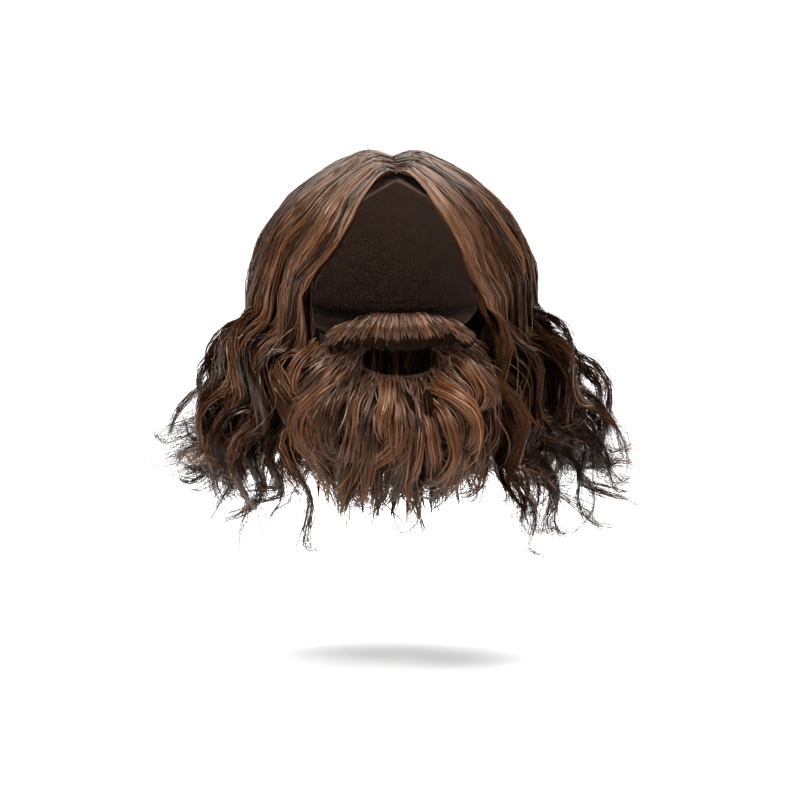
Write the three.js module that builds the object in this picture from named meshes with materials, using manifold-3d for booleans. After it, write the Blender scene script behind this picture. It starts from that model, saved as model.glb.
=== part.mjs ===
// A wavy brown shoulder-length wig with a centre parting, and the full beard with moustache that
// goes with it, both in the form that they have on a head. Millimetres, +Z up, front towards -Y.
// The origin is inside the cap, where the crown of the head touches it.
// Left and right are the wearer's: left is +X. A turn is an angle about the upright axis, 0 at the
// front and 180 at the back. A tilt is an angle from straight up. Angles are in degrees.
import * as THREE from "three";
import { mergeVertices } from "three/addons/utils/BufferGeometryUtils.js";
import Module from "manifold-3d";

const { lerp, smoothstep, clamp, degToRad, radToDeg } = THREE.MathUtils;
const wasm = await Module();
wasm.setup();

// The head that the set fits
const HEAD_WIDTH = 156;
const HEAD_DEPTH = 196;
const HEAD_RISE = 100; // from the crown down to the widest level
const FACE_DROP = 222; // from the crown down to the underside of the chin

// Cap, parting and the clearance between pieces
const GAP = 0.4;
const HAIR_CLEARANCE = 1.5; // of the hair from the cap or the net that it is sewn to
const CAP_WALL = 1.5;
const PARTING_WIDTH = 4;
const PARTING_THICKNESS = 0.8;
const PARTING_FRONT = -30; // tilts of the two ends of the parting, minus towards the front
const PARTING_BACK = 25;
const LAST_ROOT = 38; // tilt at which the hair starts in the middle of the back

// Hair of the wig
const PARTING_HAIR = 8; // depth of the hair at the parting and over the crown
const CROWN_HAIR = 13;
const FRINGE_HAIR = 19; // depth of the hair at ear level, beside the face and further back
const SIDE_HAIR = 37;
const FRINGE_SHARE = 0.3; // share of the flow lines in which the depth goes from one to the other
const CROWN_RISE = 0.14; // share of a flow line in which the hair rises from the parting
const EAR_TILT = 92;
const FACE_TURN = 46; // the wig hangs behind this turn, and the beard stays in front of it
const HAIR_DROP = 205; // longest lock, from ear level to its tip
const LOCK_THICKNESS = 27;
const LOCK_SPREAD = 1.75; // how much a lock widens on its way down
const TAPER_START = 0.58; // share of its length from which a hanging lock gets slimmer
const LOCK_PITCH = 1 / 10; // share of the flow lines from one lock to the next
const LOCK_OVERLAP = 1.08; // width of a lock on the crown, as a share of its pitch
const FLICK_WIDTH = 0.5; // width of a flick, as a share of a lock's
const FLICK_START = 0.86; // share of the way from the parting to ear level where flicks begin
const FLICK_SETTLE = 0.46; // a flick first hangs down, and springs out on the way to here
const WAVE_LENGTH = 84;
const NAPE_TILT = 110; // tilt at which the nape curls leave the cap
const NAPE_HAIR = 7;
const NAPE_WIDTH = 19; // turn that one nape curl covers
const NAPE_TUCK = 8; // angle inwards at which the nape curls leave the cap

// Along a hanging lock, as shares of its length or of its full form
const SETTLE_END = 0.14; // the wave and the flare of a lock come in up to here
const FLARE_HOLD = 0.35; // from here to FLARE_END the flare sinks to FLARE_KEPT
const FLARE_END = 0.8;
const FLARE_KEPT = 0.3;
const SIDE_SWING = 0.8; // swing sideways as a share of the swing outwards
const HOOK_START = 0.68;
const SPREAD_END = 0.4;
const THICK_END = 0.45;
const TAPER_END = 1.05;
const LOCK_TIP = 0.06; // least width, as a share
const SECTION_CHANGE = 0.6; // from here to ear level a section goes from its crown form to its own
const NAPE_HOOK_START = 0.6;
const NAPE_TIP = 0.12;

// Beard
const MOUTH_LEVEL = 151; // from the crown down to the middle of the mouth opening
const MOUTH_TURN = 18.5;
const MOUTH_RISE = 12.5;
const NET_WALL = 1.2;
const NET_CLEARANCE = 0.5; // from the face
const UNDERCOAT = 9; // depth of the short hair that covers the net
const BEARD_DROP = 96; // longest lock of the beard
const BEARD_LOCK_WIDTH = 27;
const BEARD_LOCK_THICKNESS = 18;
const CHIN_TURN = 20; // boundary between the chin hair and the cheek hair
const MOUSTACHE_DROP = 40;
const MOUSTACHE_LOCK_WIDTH = 20;
const MOUSTACHE_LOCK_THICKNESS = 11;
const MOUSTACHE_RISE = 82; // angle outwards at the root of its locks, and inwards at their tips
const MOUSTACHE_ROLL = 62;
const MOUSTACHE_TIP = 0.3;
const COAT_TURN = 80; // turn at which the undercoat ends, at the sideburns
const COAT_MARGIN = 0.5; // turn left free on each side of the boundary of chin and cheek
const COAT_EDGE = 0.35; // depth of the undercoat at its edges, as a share
const ROOT_DEPTH = 0.7; // share of the undercoat's depth at which a lock starts

// Along a lock of the beard, as shares of its length or of its full form
const RISE_END = 0.55; // it has stopped growing outwards here
const CURL_START = 0.2;
const CURL_END = 0.9;
const BEARD_HOOK_START = 0.45;
const BEARD_ROOT = 0.62; // width at the root, full at BEARD_FULL
const BEARD_FULL = 0.35;
const BEARD_TIP = 0.1;

// Elastic strap that holds the beard, between the head and the cap
const STRAP_WIDTH = 6;
const STRAP_THICKNESS = 0.8;
const STRAP_DEPTH = 2.2; // of its outer face below the surface of the head
const STRAP_TURN = 84;
const STRAP_EAR_TILT = 94;
const STRAP_BACK_TILT = 104;

// Edge of the cap: tilt at each turn
const CAP_EDGE = [
  { turn: 0, tilt: 31 },
  { turn: 30, tilt: 48 },
  { turn: 60, tilt: 72 },
  { turn: 85, tilt: 86 },
  { turn: 105, tilt: 90 },
  { turn: 130, tilt: 108 },
  { turn: 180, tilt: 117 },
];

// Level sections of the face: level is a share of FACE_DROP, width and front of the head's halves
const FACE_SECTIONS = [
  { level: 0.4, width: 0.99, front: 0.95 },
  { level: 0.47, width: 0.99, front: 0.96 },
  { level: 0.55, width: 0.96, front: 0.98 },
  { level: 0.68, width: 0.865, front: 1 },
  { level: 0.81, width: 0.757, front: 0.99 },
  { level: 0.92, width: 0.6, front: 0.92 },
  { level: 1, width: 0.4, front: 0.63 },
];

// Outer edge of the beard's net: bearing runs round the mouth from straight up to straight down
const BEARD_EDGE = [
  { bearing: 0, turn: 0, level: 0.525 },
  { bearing: 30, turn: 15, level: 0.535 },
  { bearing: 55, turn: 29, level: 0.59 },
  { bearing: 72, turn: 50, level: 0.605 },
  { bearing: 84, turn: 75, level: 0.5 },
  { bearing: 90, turn: 88, level: 0.47 },
  { bearing: 97, turn: 92, level: 0.54 },
  { bearing: 110, turn: 84, level: 0.72 },
  { bearing: 130, turn: 62, level: 0.88 },
  { bearing: 155, turn: 34, level: 0.97 },
  { bearing: 180, turn: 0, level: 0.99 },
];

const named = (columns, rows) =>
  rows.map((row) => Object.fromEntries(columns.map((column, i) => [column, row[i]])));

// Short hair over the net of the beard: its upper and lower edge at each turn
const BEARD_COAT = [
  { turn: 0, top: 0.75, bottom: 0.925 },
  { turn: 12, top: 0.74, bottom: 0.925 },
  { turn: 20, top: 0.7, bottom: 0.92 },
  { turn: 28, top: 0.65, bottom: 0.93 },
  { turn: 40, top: 0.635, bottom: 0.91 },
  { turn: 52, top: 0.63, bottom: 0.88 },
  { turn: 66, top: 0.6, bottom: 0.8 },
  { turn: 80, top: 0.53, bottom: 0.7 },
];

// Pieces of wig hair on each side, from the face to the back: the flow lines from and to which each goes
const WIG_REGIONS = named(["region", "from", "to"], [
  ["front", 0, 0.2],
  ["temple", 0.2, 0.4],
  ["side", 0.4, 0.6],
  ["rear", 0.6, 0.8],
  ["back", 0.8, 1],
]);

// Locks of the wig. place is the flow line: 0 beside the face, 1 at the back. hang is a share of
// HAIR_DROP. flare, lean, swing and hook are angles: outwards, towards the back, of the wave each
// way, and outwards at the tip. phase is a share of a wave.
const LOCK_COLUMNS = ["place", "hang", "flare", "lean", "swing", "phase", "hook"];
const LEFT_LOCKS = named(LOCK_COLUMNS, [
  [0.05, 1.06, 16, -2, 26, 0.1, 45],
  [0.15, 1.04, 28, 4, 28, 0.45, 60],
  [0.25, 0.92, 34, 2, 28, 0.8, 75],
  [0.35, 0.98, 37, 4, 28, 0.1, 60],
  [0.45, 0.88, 36, -4, 26, 0.4, 80],
  [0.55, 0.96, 31, 3, 26, 0.7, 55],
  [0.65, 0.92, 28, -3, 26, 0, 75],
  [0.75, 0.98, 26, 3, 26, 0.3, 60],
  [0.85, 0.9, 23, -2, 26, 0.6, 70],
  [0.95, 0.98, 21, 0, 26, 0.9, 60],
]);
const RIGHT_LOCKS = named(LOCK_COLUMNS, [
  [0.05, 1.02, 12, 4, 28, 0.55, -30],
  [0.15, 0.96, 26, 8, 28, 0.75, 80],
  [0.25, 0.9, 33, 4, 28, 0.1, 65],
  [0.35, 0.96, 36, -3, 28, 0.35, 65],
  [0.45, 0.86, 35, 4, 26, 0.6, 80],
  [0.55, 0.96, 31, 0, 26, 0.9, 60],
  [0.65, 0.9, 28, 4, 26, 0.2, 75],
  [0.75, 0.98, 30, -3, 24, 0.5, 60],
  [0.85, 0.9, 24, 3, 26, 0.8, 70],
  [0.95, 0.96, 21, 0, 26, 0.1, 60],
]);

// Flicks: slimmer locks that spring out of the hair at ear level
const LEFT_FLICKS = named(LOCK_COLUMNS, [
  [0.1, 0.8, 34, 8, 30, 0.7, 110],
  [0.22, 0.62, 60, 4, 34, 0.2, -60],
  [0.3, 0.76, 54, 8, 34, 0.5, -95],
  [0.41, 0.7, 62, -6, 34, 0.8, 80],
  [0.5, 0.76, 44, 6, 32, 0.15, 110],
  [0.7, 0.78, 38, 0, 30, 0.3, 95],
  [0.9, 0.78, 34, 0, 30, 0.6, 90],
]);
const RIGHT_FLICKS = named(LOCK_COLUMNS, [
  [0.06, 0.74, 18, 14, 34, 0.2, -50],
  [0.14, 0.88, 34, 6, 32, 0.4, 120],
  [0.23, 0.56, 66, 0, 34, 0.9, -110],
  [0.31, 0.7, 58, 6, 36, 0.15, -90],
  [0.46, 0.8, 40, -6, 32, 0.4, 115],
  [0.7, 0.78, 46, 2, 26, 0.7, 95],
  [0.9, 0.76, 34, 0, 30, 0.35, 95],
]);

// How the hair at the front of each side falls: the turn at which it passes ear level, and how far
// it bows across the forehead on its way there
const LEFT_FALL = { turn: 35, sweep: 4 };
const RIGHT_FALL = { turn: 45, sweep: 10 };
const BOW_DELAY = 1.5; // above 1, the bow is widest past the middle of the way

// Curls under the back of the wig, which start on the cap at the nape: hang is a share of HAIR_DROP
const NAPE_CURLS = named(["turn", "hang", "lean", "swing", "phase", "hook"], [
  [136, 0.68, 2, 14, 0.1, 20],
  [149, 0.76, 2, 12, 0.45, 24],
  [162, 0.7, 0, 12, 0.8, 20],
  [174, 0.76, -2, 12, 0.25, 30],
]);

// Locks of the beard: level is a share of FACE_DROP, length one of BEARD_DROP and width one of
// BEARD_LOCK_WIDTH. rise is the angle outwards at which a lock leaves the face. lean and curl are
// the angles sideways at its start and its end, and hook is the angle outwards at its end.
const BEARD_COLUMNS =
  ["turn", "level", "length", "rise", "lean", "swing", "phase", "hook", "curl", "width"];
const CHIN_LOCKS = named(BEARD_COLUMNS, [
  [-12, 0.775, 0.98, 64, -24, 14, 0.1, -55, -5, 1],
  [0, 0.785, 1.04, 68, 16, 12, 0.3, -70, -55, 1.1],
  [12, 0.775, 0.96, 64, 32, 14, 0.6, -60, -35, 1],
  [-9, 0.86, 0.88, 52, -16, 16, 0.5, -40, -15, 1.1],
  [8, 0.87, 0.94, 52, 14, 16, 0.2, -45, -30, 1.1],
  [-5, 0.92, 0.84, 30, -6, 14, 0.5, -10, 10, 1],
  [7, 0.92, 0.8, 32, 6, 14, 0.2, -15, 5, 1],
]);
const LEFT_CHEEK_LOCKS = named(BEARD_COLUMNS, [
  [26, 0.68, 0.92, 56, 36, 16, 0.2, -45, -5, 1.1],
  [37, 0.66, 0.9, 46, 22, 16, 0.6, -25, -5, 1.1],
  [28, 0.77, 0.92, 60, 20, 18, 0.5, -60, -35, 1.1],
  [38, 0.77, 0.86, 50, 8, 16, 0.9, -45, -15, 1.1],
  [31, 0.86, 0.8, 50, 4, 16, 0.8, -55, -30, 1.1],
]);
const RIGHT_CHEEK_LOCKS = named(BEARD_COLUMNS, [
  [26, 0.68, 0.9, 56, 36, 18, 0.45, -50, -5, 1.1],
  [37, 0.67, 0.88, 46, 22, 18, 0.3, -30, -5, 1.1],
  [28, 0.78, 0.94, 60, 18, 18, 0.7, -60, -40, 1.1],
  [38, 0.77, 0.88, 50, 6, 18, 0.1, -50, -20, 1.1],
  [31, 0.86, 0.82, 50, 4, 16, 0.3, -50, -25, 1.1],
]);

// Locks of one half of the moustache, from the middle outwards: length is a share of MOUSTACHE_DROP
const MOUSTACHE_LOCKS = named(["turn", "level", "length", "lean", "width"], [
  [4.2, 0.545, 0.86, 8, 0.95],
  [10, 0.543, 0.9, 26, 1],
  [15.5, 0.55, 0.96, 40, 1],
  [20.5, 0.568, 1, 42, 0.9],
]);

// Fineness of the faceted solids
const CROWN_STEPS = 6;
const HANG_STEPS = 8;
const BEARD_STEPS = 5;
const MOUSTACHE_STEPS = 4;
const FINE_STEPS = 5; // steps of the path between two sections of a hanging lock
const FINENESS = 0.12; // facets smaller than this are left out where locks meet
const CAP_COLUMNS = 28;
const CAP_ROWS = 8;
const NET_COLUMNS = 28;
const NET_ROWS = 4;
const COAT_COLUMNS = 6;
const COAT_ROWS = 4;
const STRAP_STEPS = 24;

// Corners of the section of a lock, a flick and a strap: across and out, as shares of its half width
// and half thickness. On the crown the locks lie side by side, and out is the column crown.
const LOCK_SECTION = named(["across", "out", "crown"], [
  [1, 0.1, 0.8],
  [0.5, 0.95, 1],
  [-0.5, 0.95, 1],
  [-1, 0.1, 0.8],
  [0, -1, -1],
]);
const FLICK_SECTION = named(["across", "out", "crown"], [
  [1, 0, 0],
  [0, 1, 1],
  [-1, 0, 0],
  [0, -1, -1],
]);
const STRAP_SECTION = named(["across", "out"], [
  [1, 1],
  [-1, 1],
  [-1, -1],
  [1, -1],
]);

// The two kinds of wig lock: width is a share of LOCK_PITCH, and depth one of the hair's depth
const LOCK = { width: 1, start: 0, depth: 1, settle: SETTLE_END, section: LOCK_SECTION };
const FLICK = {
  width: FLICK_WIDTH,
  start: FLICK_START,
  depth: 0.8,
  settle: FLICK_SETTLE,
  section: FLICK_SECTION,
};

const FINISHES = {
  hair: { color: 0x4a2f22, roughness: 0.5 },
  beard: { color: 0x51331f, roughness: 0.5 },
  cap: { color: 0x1f1713, roughness: 0.9 },
  net: { color: 0x3a2a20, roughness: 0.9 },
  parting: { color: 0xb98f74, roughness: 0.8 },
  strap: { color: 0x2a211c, roughness: 0.8 },
};

const UP = new THREE.Vector3(0, 0, 1);
const HEAD_CENTRE = new THREE.Vector3(0, 0, -HEAD_RISE);

// Value of one column of a table at a place along another, as a smooth curve through the rows
function readTable(rows, along, at, column) {
  const last = rows.length - 1;
  const place = clamp(at, rows[0][along], rows[last][along]);
  let i = 0;
  while (i < last - 1 && place > rows[i + 1][along]) i++;
  const slope = (k) => {
    const a = rows[Math.max(k - 1, 0)];
    const b = rows[Math.min(k + 1, last)];
    return (b[column] - a[column]) / (b[along] - a[along]);
  };
  const span = rows[i + 1][along] - rows[i][along];
  const t = (place - rows[i][along]) / span;
  const ease = t * t * (3 - 2 * t);
  return (
    lerp(rows[i][column], rows[i + 1][column], ease) +
    span * t * (1 - t) * ((1 - t) * slope(i) - t * slope(i + 1))
  );
}

function direction(turn, tilt) {
  const [a, b] = [degToRad(turn), degToRad(tilt)];
  return new THREE.Vector3(Math.sin(b) * Math.sin(a), -Math.sin(b) * Math.cos(a), Math.cos(b));
}

// Point a given lift outside the head, in a direction from its centre
function headPoint(way, lift) {
  const reach = 1 / Math.hypot(way.x / (HEAD_WIDTH / 2), way.y / (HEAD_DEPTH / 2), way.z / HEAD_RISE);
  return HEAD_CENTRE.clone().addScaledVector(way, reach + lift);
}

// Point a given lift outside the face
function facePoint(turn, level, lift) {
  const width = (readTable(FACE_SECTIONS, "level", level, "width") * HEAD_WIDTH) / 2;
  const front = (readTable(FACE_SECTIONS, "level", level, "front") * HEAD_DEPTH) / 2;
  const way = direction(turn, 90);
  const reach = 1 / Math.hypot(way.x / width, way.y / front);
  return way.multiplyScalar(reach + lift).setZ(-level * FACE_DROP);
}

// Direction of a flow line of the wig's hair: along is 0 at the parting and 1 at ear level
function flowDirection(place, along, fall) {
  const root = direction(180, lerp(PARTING_FRONT, LAST_ROOT, place));
  const end = direction(lerp(fall.turn, 180, place), EAR_TILT);
  const arc = root.angleTo(end);
  const way = root
    .multiplyScalar(Math.sin((1 - along) * arc) / Math.sin(arc))
    .addScaledVector(end, Math.sin(along * arc) / Math.sin(arc));
  const bow = fall.sweep * (1 - place) ** 2 * Math.sin(Math.PI * along ** BOW_DELAY);
  return way.applyAxisAngle(UP, -degToRad(bow));
}

function hairDepth(place, along) {
  const crown = lerp(PARTING_HAIR, CROWN_HAIR, smoothstep(along, 0, CROWN_RISE));
  const ear = lerp(FRINGE_HAIR, SIDE_HAIR, smoothstep(place, 0, FRINGE_SHARE));
  return lerp(crown, ear, smoothstep(along, CROWN_RISE, 1));
}

// Turn of a point about the upright axis, from -90 to 270
function turnOf(point) {
  const turn = radToDeg(Math.atan2(point.x, -point.y));
  return turn < -90 ? turn + 360 : turn;
}

// The point, turned about the upright axis if need be so that it lies between two turns
function keepBetween(point, from, to) {
  const reach = Math.hypot(point.x, point.y);
  const margin = radToDeg(GAP / reach);
  const turn = clamp(turnOf(point), from + margin, to - margin);
  return direction(turn, 90).multiplyScalar(reach).setZ(point.z);
}

// Path of a hanging lock: a length is walked with its direction at each share of it given by two
// angles, outwards and sideways. Returns a point and two axes across the path for each section.
function hangPath(start, outward, length, steps, angles) {
  const sideways = new THREE.Vector3().crossVectors(UP, outward);
  const point = start.clone();
  const out = outward.clone();
  const sections = [];
  for (let i = 0; i <= steps * FINE_STEPS; i++) {
    const share = i / (steps * FINE_STEPS);
    const { pitch, yaw } = angles(share, share * length);
    const [p, y] = [degToRad(pitch), degToRad(yaw)];
    const step = outward
      .clone()
      .multiplyScalar(Math.sin(p))
      .addScaledVector(UP, -Math.cos(p) * Math.cos(y))
      .addScaledVector(sideways, Math.cos(p) * Math.sin(y));
    out.addScaledVector(step, -out.dot(step)).normalize();
    if (i % FINE_STEPS === 0) {
      sections.push({
        share,
        point: point.clone(),
        out: out.clone(),
        across: new THREE.Vector3().crossVectors(out, step).normalize(),
      });
    }
    point.addScaledVector(step, length / (steps * FINE_STEPS));
  }
  return sections;
}

// Ring of corners round a section
const ringOf = (section, corners, halfWidth, halfThickness) =>
  corners.map((corner) =>
    section.point
      .clone()
      .addScaledVector(section.across, corner.across * halfWidth)
      .addScaledVector(section.out, corner.out * halfThickness),
  );

// Closed body through rings that each hold the same number of corners
function bodyThrough(rings) {
  const sides = rings[0].length;
  const faces = [];
  for (let r = 0; r + 1 < rings.length; r++) {
    for (let k = 0; k < sides; k++) {
      const a = r * sides + k;
      const b = r * sides + ((k + 1) % sides);
      faces.push([a, b, b + sides], [a, b + sides, a + sides]);
    }
  }
  const end = (rings.length - 1) * sides;
  for (let k = 1; k + 1 < sides; k++) {
    faces.push([0, k + 1, k], [end, end + k, end + k + 1]);
  }
  return solidOf(rings.flat(), faces);
}

// Closed shell on a grid that wraps round: at gives the point of a column, a row and a layer
function shellOn(columns, rows, at) {
  const points = [];
  const faces = [];
  const index = (layer, row, column) => (layer * (rows + 1) + row) * columns + (column % columns);
  for (const layer of [0, 1]) {
    for (let row = 0; row <= rows; row++) {
      for (let column = 0; column < columns; column++) points.push(at(column, row, layer));
    }
  }
  const quad = (a, b, c, d) => faces.push([a, b, c], [a, c, d]);
  for (let c = 0; c < columns; c++) {
    for (let r = 0; r < rows; r++) {
      quad(index(1, r, c), index(1, r + 1, c), index(1, r + 1, c + 1), index(1, r, c + 1));
      quad(index(0, r, c), index(0, r, c + 1), index(0, r + 1, c + 1), index(0, r + 1, c));
    }
    quad(index(0, 0, c), index(1, 0, c), index(1, 0, c + 1), index(0, 0, c + 1));
    quad(index(0, rows, c), index(0, rows, c + 1), index(1, rows, c + 1), index(1, rows, c));
  }
  return solidOf(points, faces);
}

// Solid of points and faces, with its faces turned outwards
function solidOf(points, faces) {
  const geometry = new THREE.BufferGeometry().setFromPoints(points);
  geometry.setIndex(faces.flat());
  const merged = mergeVertices(geometry);
  const index = Array.from(merged.index.array);
  const build = (order) => {
    const kept = [];
    for (let i = 0; i < index.length; i += 3) {
      const [a, b, c] = [index[i], index[i + order[0]], index[i + order[1]]];
      if (a !== b && b !== c && c !== a) kept.push(a, b, c);
    }
    return new wasm.Manifold(
      new wasm.Mesh({
        numProp: 3,
        vertProperties: merged.attributes.position.array,
        triVerts: new Uint32Array(kept),
      }),
    );
  };
  const solid = build([1, 2]);
  return solid.volume() < 0 ? build([2, 1]) : solid;
}

// One body of solids that meet, without the slivers and sealed pockets that are left between them
function fuse(solids) {
  const bodies = wasm.Manifold.union(solids).simplify(FINENESS).decompose();
  return bodies.reduce((most, body) => (body.volume() > most.volume() ? body : most));
}

const mirrored = (solid, side) => (side < 0 ? solid.mirror([1, 0, 0]) : solid);

// Named mesh of a solid
function meshOf(name, solid, finish) {
  const made = solid.getMesh();
  const geometry = new THREE.BufferGeometry();
  geometry.setAttribute("position", new THREE.BufferAttribute(made.vertProperties, made.numProp));
  geometry.setIndex(new THREE.BufferAttribute(made.triVerts, 1));
  geometry.computeVertexNormals();
  const material = new THREE.MeshStandardMaterial({ ...finish, metalness: 0 });
  const mesh = new THREE.Mesh(geometry, material);
  mesh.name = name;
  return mesh;
}

function wigCap() {
  return shellOn(CAP_COLUMNS, CAP_ROWS, (column, row, layer) => {
    const turn = (column / CAP_COLUMNS) * 360;
    const edge = readTable(CAP_EDGE, "turn", Math.min(turn, 360 - turn), "tilt");
    return headPoint(direction(turn, (edge * row) / CAP_ROWS), layer * CAP_WALL);
  });
}

function partingStrip() {
  const steps = CROWN_STEPS;
  const rings = [];
  for (let i = 0; i <= steps; i++) {
    const out = direction(180, lerp(PARTING_FRONT, PARTING_BACK, i / steps));
    const point = headPoint(out, CAP_WALL + HAIR_CLEARANCE + PARTING_THICKNESS / 2);
    const section = { point, out, across: new THREE.Vector3(1, 0, 0) };
    rings.push(ringOf(section, STRAP_SECTION, PARTING_WIDTH / 2, PARTING_THICKNESS / 2));
  }
  return bodyThrough(rings);
}

// Rings of a lock where it lies on the crown, inside the flow lines of its region
function crownRings(lock, shape, region, fall) {
  const base = CAP_WALL + HAIR_CLEARANCE;
  const halfPlace = (shape.width * LOCK_PITCH * LOCK_OVERLAP) / 2;
  const steps = Math.ceil(CROWN_STEPS * (1 - shape.start));
  const rings = [];
  for (let i = 0; i <= steps; i++) {
    const along = lerp(shape.start, 1, i / steps);
    rings.push(
      shape.section.map((corner) => {
        const place = clamp(lock.place + corner.across * halfPlace, region.from, region.to);
        const depth = hairDepth(place, along) * shape.depth;
        const out = lerp(corner.crown, corner.out, smoothstep(along, SECTION_CHANGE, 1));
        const point = headPoint(flowDirection(place, along, fall), base + (depth * (1 + out)) / 2);
        return insideEdges(point, place, region, along, fall);
      }),
    );
  }
  return rings;
}

// The point, moved off the edges of its region and off the parting by the clearance between pieces
function insideEdges(point, place, region, along, fall) {
  const middle = headPoint(flowDirection((region.from + region.to) / 2, along, fall), 0);
  const inwards = middle.sub(point).setZ(0);
  const onEdge = place <= region.from || place >= region.to;
  if (onEdge && inwards.length() > 2 * GAP) point.addScaledVector(inwards.normalize(), GAP);
  return point.setX(Math.max(point.x, PARTING_WIDTH / 2 + GAP));
}

// One lock or flick of the wig: rings on the crown, then rings down its hanging length
function wigLock(lock, shape, region, fall) {
  const rings = crownRings(lock, shape, region, fall);
  const from = lerp(FACE_TURN, 180, region.from);
  const to = lerp(FACE_TURN, 180, region.to);
  const earDepth = hairDepth(lock.place, 1);
  const lift = CAP_WALL + HAIR_CLEARANCE + earDepth / 2;
  const start = headPoint(flowDirection(lock.place, 1, fall), lift);
  const halfAngle = degToRad(((180 - FACE_TURN) * LOCK_PITCH * shape.width) / 2);
  const halfWidth = start.distanceTo(HEAD_CENTRE) * halfAngle;
  const outward = direction(lerp(FACE_TURN, 180, lock.place), 90);
  const path = hangPath(start, outward, lock.hang * HAIR_DROP, HANG_STEPS, (share, walked) => {
    const wave = 2 * Math.PI * (walked / WAVE_LENGTH + lock.phase);
    const settled = smoothstep(share, 0, shape.settle);
    return {
      pitch:
        lock.flare * settled * lerp(1, FLARE_KEPT, smoothstep(share, FLARE_HOLD, FLARE_END)) +
        lock.swing * settled * Math.sin(wave) +
        lock.hook * smoothstep(share, HOOK_START, 1),
      yaw: lock.lean + SIDE_SWING * lock.swing * settled * Math.cos(wave),
    };
  });
  for (const section of path.slice(1)) {
    const taper = Math.max(1 - smoothstep(section.share, TAPER_START, TAPER_END), LOCK_TIP);
    const width = halfWidth * lerp(1, LOCK_SPREAD, smoothstep(section.share, 0, SPREAD_END));
    const thickness = lerp(earDepth, LOCK_THICKNESS, smoothstep(section.share, 0, THICK_END));
    const halfThickness = (thickness * shape.depth) / 2;
    const ring = ringOf(section, shape.section, width * taper, halfThickness * taper);
    rings.push(ring.map((point) => keepBetween(point, from, to)));
  }
  return bodyThrough(rings);
}

// One piece of the wig's hair: the locks and flicks whose place is in its region
function wigHair(region, locks, flicks, fall) {
  const inRegion = (lock) => lock.place >= region.from && lock.place < region.to;
  return fuse([
    ...locks.filter(inRegion).map((lock) => wigLock(lock, LOCK, region, fall)),
    ...flicks.filter(inRegion).map((flick) => wigLock(flick, FLICK, region, fall)),
  ]);
}

// Curls under the back hair of one side
function napeCurls() {
  const start = CAP_WALL + HAIR_CLEARANCE + NAPE_HAIR / 2;
  const halfWidth = (HEAD_DEPTH / 2) * degToRad(NAPE_WIDTH / 2);
  const curls = NAPE_CURLS.map((curl) => {
    const root = headPoint(direction(curl.turn, NAPE_TILT), start);
    const outward = direction(curl.turn, 90);
    const length = curl.hang * HAIR_DROP;
    const path = hangPath(root, outward, length, BEARD_STEPS, (share, walked) => {
      const wave = 2 * Math.PI * (walked / WAVE_LENGTH + curl.phase);
      return {
        pitch:
          curl.swing * share * Math.sin(wave) +
          curl.hook * smoothstep(share, NAPE_HOOK_START, 1) -
          NAPE_TUCK,
        yaw: curl.lean + curl.swing * share * Math.cos(wave),
      };
    });
    const rings = path.map((section) => {
      const taper = Math.max(1 - section.share ** 3, NAPE_TIP);
      const ring = ringOf(section, LOCK_SECTION, halfWidth * taper, (NAPE_HAIR / 2) * taper);
      return ring.map((point) => keepBetween(point, 90, 180));
    });
    return bodyThrough(rings);
  });
  return fuse(curls);
}

// Point of the beard's sheet: bearing runs round the mouth, out is 0 at the mouth and 1 at the edge
function beardPoint(bearing, out, lift) {
  const half = Math.min(bearing, 360 - bearing);
  const side = bearing > 180 ? -1 : 1;
  const edgeTurn = readTable(BEARD_EDGE, "bearing", half, "turn");
  const edgeLevel = readTable(BEARD_EDGE, "bearing", half, "level");
  const mouthTurn = MOUTH_TURN * Math.sin(degToRad(half));
  const mouthLevel = (MOUTH_LEVEL - MOUTH_RISE * Math.cos(degToRad(half))) / FACE_DROP;
  return facePoint(side * lerp(mouthTurn, edgeTurn, out), lerp(mouthLevel, edgeLevel, out), lift);
}

function beardNet() {
  return shellOn(NET_COLUMNS, NET_ROWS, (column, row, layer) =>
    beardPoint((column / NET_COLUMNS) * 360, row / NET_ROWS, NET_CLEARANCE + layer * NET_WALL),
  );
}

// Short hair that covers the net between two turns, thin at its edges
function undercoat(from, to, columns) {
  const base = NET_CLEARANCE + NET_WALL + HAIR_CLEARANCE;
  const rings = [];
  for (let c = 0; c <= columns; c++) {
    const turn = lerp(from, to, c / columns);
    const top = readTable(BEARD_COAT, "turn", Math.abs(turn), "top");
    const bottom = readTable(BEARD_COAT, "turn", Math.abs(turn), "bottom");
    const at = (r, lift) => facePoint(turn, lerp(top, bottom, r / COAT_ROWS), base + lift);
    const ring = [];
    for (let r = 0; r <= COAT_ROWS; r++) ring.push(at(r, 0));
    for (let r = COAT_ROWS; r >= 0; r--) {
      ring.push(at(r, UNDERCOAT * lerp(COAT_EDGE, 1, Math.sin((Math.PI * r) / COAT_ROWS))));
    }
    rings.push(ring);
  }
  return bodyThrough(rings);
}

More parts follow.
